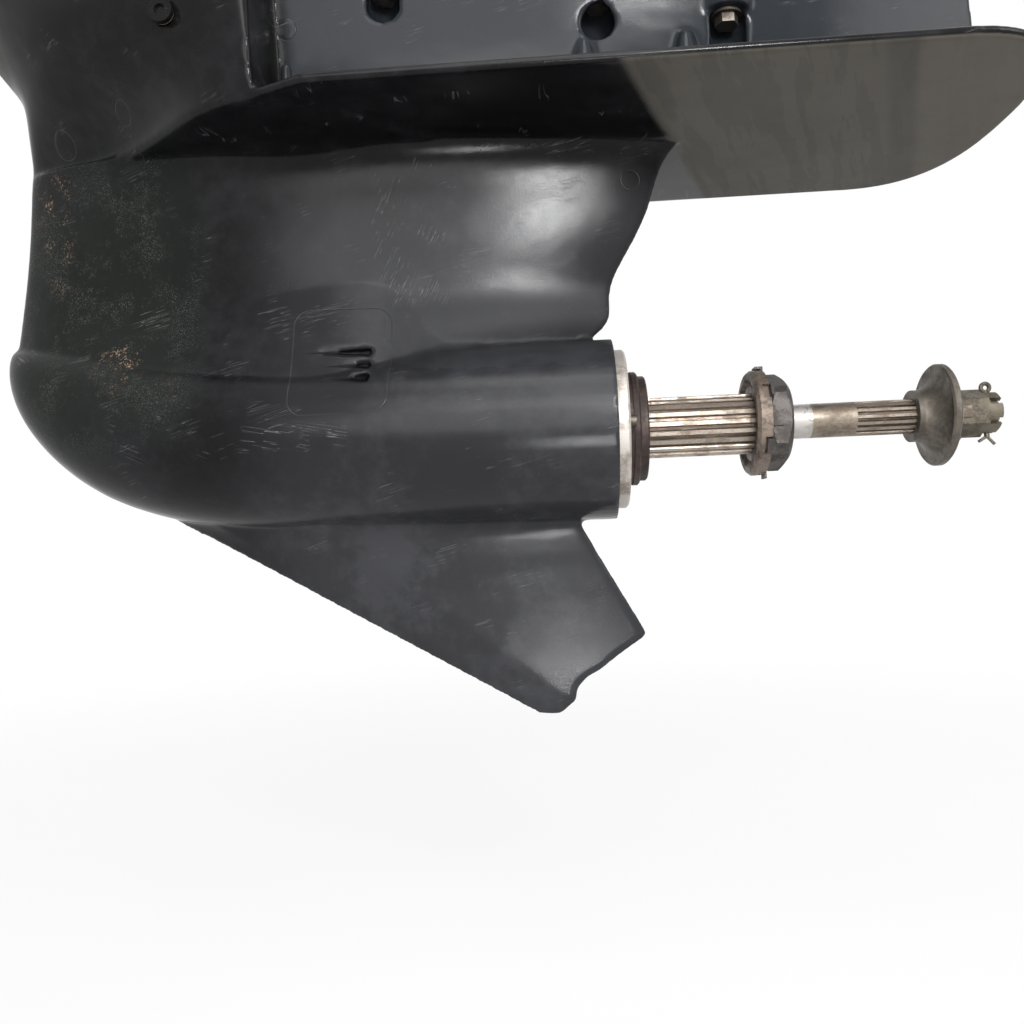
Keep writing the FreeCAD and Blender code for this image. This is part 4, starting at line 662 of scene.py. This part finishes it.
def castSkin():
    source = nodes["gearcase_housing"]
    rough = bpy.data.objects.new("cast_housing", source.data.copy())
    bpy.context.collection.objects.link(rough)
    remesh = rough.modifiers.new("cast", "REMESH")
    remesh.mode = "VOXEL"
    remesh.voxel_size = skinLook["voxel"]
    ready = rough.evaluated_get(bpy.context.evaluated_depsgraph_get())
    mesh = bpy.data.meshes.new_from_object(ready)
    rough.modifiers.clear()
    rough.data = mesh
    mesh.materials.clear()
    mesh.materials.append(finishes["gloss_black_paint"])
    points = np.empty(len(mesh.vertices) * 3)
    mesh.vertices.foreach_get("co", points)
    points = points.reshape(-1, 3)
    edges = np.empty(len(mesh.edges) * 2, dtype=np.int64)
    mesh.edges.foreach_get("vertices", edges)
    edges = edges.reshape(-1, 2)
    counts = np.bincount(edges.ravel(), minlength=len(points)).astype(float)
    counts[counts == 0.0] = 1.0
    normals = np.empty(len(mesh.vertices) * 3)
    mesh.vertices.foreach_get("normal", normals)
    normals = normals.reshape(-1, 3)

    # Crisp where the rim and the bores are machined
    fromAxis = np.hypot(points[:, 1], points[:, 2] - axisZ)
    inner, outer = skinLook["rimRadius"]
    crisp = (points[:, 0] > skinLook["rimX"]) & (fromAxis > inner) & (fromAxis < outer)
    crisp |= points[:, 2] > skinLook["topZ"]
    free = np.where(crisp, 0.0, 1.0)[:, None]
    for _ in range(skinLook["softRounds"]):
        for step in (0.5, skinLook["softBack"]):
            points += step * free * (neighbourMean(points, edges, counts) - points)

    overAxis = points[:, 2] - axisZ
    stepHalf, stepHeight = skinLook["step"]
    thin = overAxis < skinLook["skegHeight"]
    thin |= (np.abs(points[:, 0]) < stepHalf) & (overAxis > stepHeight)
    thinFree = free * thin[:, None]
    for _ in range(skinLook["edgeRounds"]):
        for step in (0.5, skinLook["softBack"]):
            points += step * thinFree * (neighbourMean(points, edges, counts) - points)

    # Inner corners outside get a larger radius
    pull = neighbourMean(points, edges, counts) - points
    hollow = np.clip(np.sum(pull * normals, axis=1), 0.0, None)[:, None]
    for _ in range(skinLook["hollowRounds"]):
        hollow = neighbourMean(hollow, edges, counts)
    start, full = skinLook["hollowFrom"], skinLook["hollowTo"]
    share = np.clip((hollow - start) / (full - start), 0.0, 1.0)
    outside = (points[:, 2] < skinLook["filletTop"]) & (fromAxis > skinLook["filletRadius"])
    half, front, rear, low = skinLook["thinStrut"]
    inStrut = (np.abs(points[:, 1]) < half) & (points[:, 2] > low)
    inStrut &= (points[:, 0] > front) & (points[:, 0] < rear)
    inletX, halfX, inletHeight, halfZ = skinLook["inlets"]
    inlets = np.abs(points[:, 0] - inletX) < halfX
    inlets &= np.abs(points[:, 2] - axisZ - inletHeight) < halfZ
    share = share * (outside & ~inStrut & ~crisp & ~inlets)[:, None] * 0.5
    for _ in range(skinLook["filletRounds"]):
        points += share * (neighbourMean(points, edges, counts) - points)

    for x, height, radius, rise in skinLook["discs"]:
        reach = np.hypot(points[:, 0] - x, points[:, 2] - axisZ - height)
        lift = np.clip((radius - reach) / 0.0015, 0.0, 1.0) * (points[:, 1] < -0.02) * rise
        points += normals * lift[:, None]
    mesh.vertices.foreach_set("co", points.ravel())
    mesh.update()
    mesh.polygons.foreach_set("use_smooth", [True] * len(mesh.polygons))
    return rough


housingSkin = castSkin()
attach(housingSkin, "case")
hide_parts("gearcase_housing")
print("casting skin made")


# Floor, and the light
stageLook = {
    "floorZ": -0.78,
    "floorSize": 12.0,
    "worldLevel": 0.36,
    # name, place, aim, size, power
    "lamps": (
        ("key", (0.437, -0.850, 0.038), (0.185, -0.015, -0.172), 0.15, 5.2),
        ("small", (0.281, -0.995, -0.669), (0.193, -0.005, -0.529), 0.09, 2.2),
        ("window", (0.200, -3.000, 0.560), (0.110, -0.030, -0.210), 2.15, 44.0),
        ("upper", (0.150, -2.550, 1.750), (0.110, -0.030, -0.260), 1.50, 22.0),
        ("ceiling", (0.220, -1.300, 2.300), (0.170, -0.050, -0.300), 1.10, 15.0),
        ("rear", (1.200, -0.600, 0.250), (0.380, 0.000, -0.335), 0.60, 4.0),
    ),
}


def cameraAndMirrorRays(tree):
    path = addNode(tree, "LightPath").outputs
    return most(tree, path["Is Camera Ray"], path["Is Glossy Ray"], path["Is Transmission Ray"])


def makeWorld():
    world = bpy.data.worlds.new("studio")
    bpy.context.scene.world = world
    world.use_nodes = True
    tree = world.node_tree
    tree.nodes.clear()
    light = addNode(tree, "Background", {"Color": (1.0, 1.0, 1.0, 1.0),
                                         "Strength": stageLook["worldLevel"]})
    white = addNode(tree, "Background", {"Color": (1.0, 1.0, 1.0, 1.0), "Strength": 1.0})
    mixed = addNode(tree, "MixShader", {0: cameraAndMirrorRays(tree), 1: light.outputs[0],
                                        2: white.outputs[0]})
    output = tree.nodes.new("ShaderNodeOutputWorld")
    tree.links.new(mixed.outputs[0], output.inputs[0])


def makeFloor():
    half = 0.5 * stageLook["floorSize"]
    z = stageLook["floorZ"]
    mesh = bpy.data.meshes.new("floor")
    corners = [(-half, -half, z), (half, -half, z), (half, half, z), (-half, half, z)]
    mesh.from_pydata(corners, [], [(0, 1, 2, 3)])
    floor = bpy.data.objects.new("floor", mesh)
    bpy.context.collection.objects.link(floor)
    material = bpy.data.materials.new("floor_white")
    material.use_nodes = True
    tree = material.node_tree
    tree.nodes.clear()
    place = addNode(tree, "TexCoord").outputs["Object"]
    reach = addNode(tree, "VectorMath", {0: place}, operation="LENGTH").outputs["Value"]
    whiteShare = ramp(tree, reach, 0.9, 2.2, 0.86, 1.0)
    paper = addNode(tree, "BsdfDiffuse", {"Color": (0.93, 0.93, 0.93, 1.0)})
    white = addNode(tree, "Emission", {"Color": (1.0, 1.0, 1.0, 1.0), "Strength": 1.0})
    share = product(tree, cameraAndMirrorRays(tree), whiteShare)
    mixed = addNode(tree, "MixShader", {0: share, 1: paper.outputs[0], 2: white.outputs[0]})
    output = tree.nodes.new("ShaderNodeOutputMaterial")
    tree.links.new(mixed.outputs[0], output.inputs[0])
    mesh.materials.append(material)


def makeLamps():
    for name, place, target, size, power in stageLook["lamps"]:
        data = bpy.data.lights.new(name, "AREA")
        data.shape = "DISK"
        data.size = size
        data.energy = power
        lamp = bpy.data.objects.new(name, data)
        lamp.location = place
        lamp.rotation_euler = (Vector(target) - Vector(place)).to_track_quat("-Z", "Y").to_euler()
        bpy.context.collection.objects.link(lamp)


makeWorld()
makeFloor()
makeLamps()
print("stage and light set")
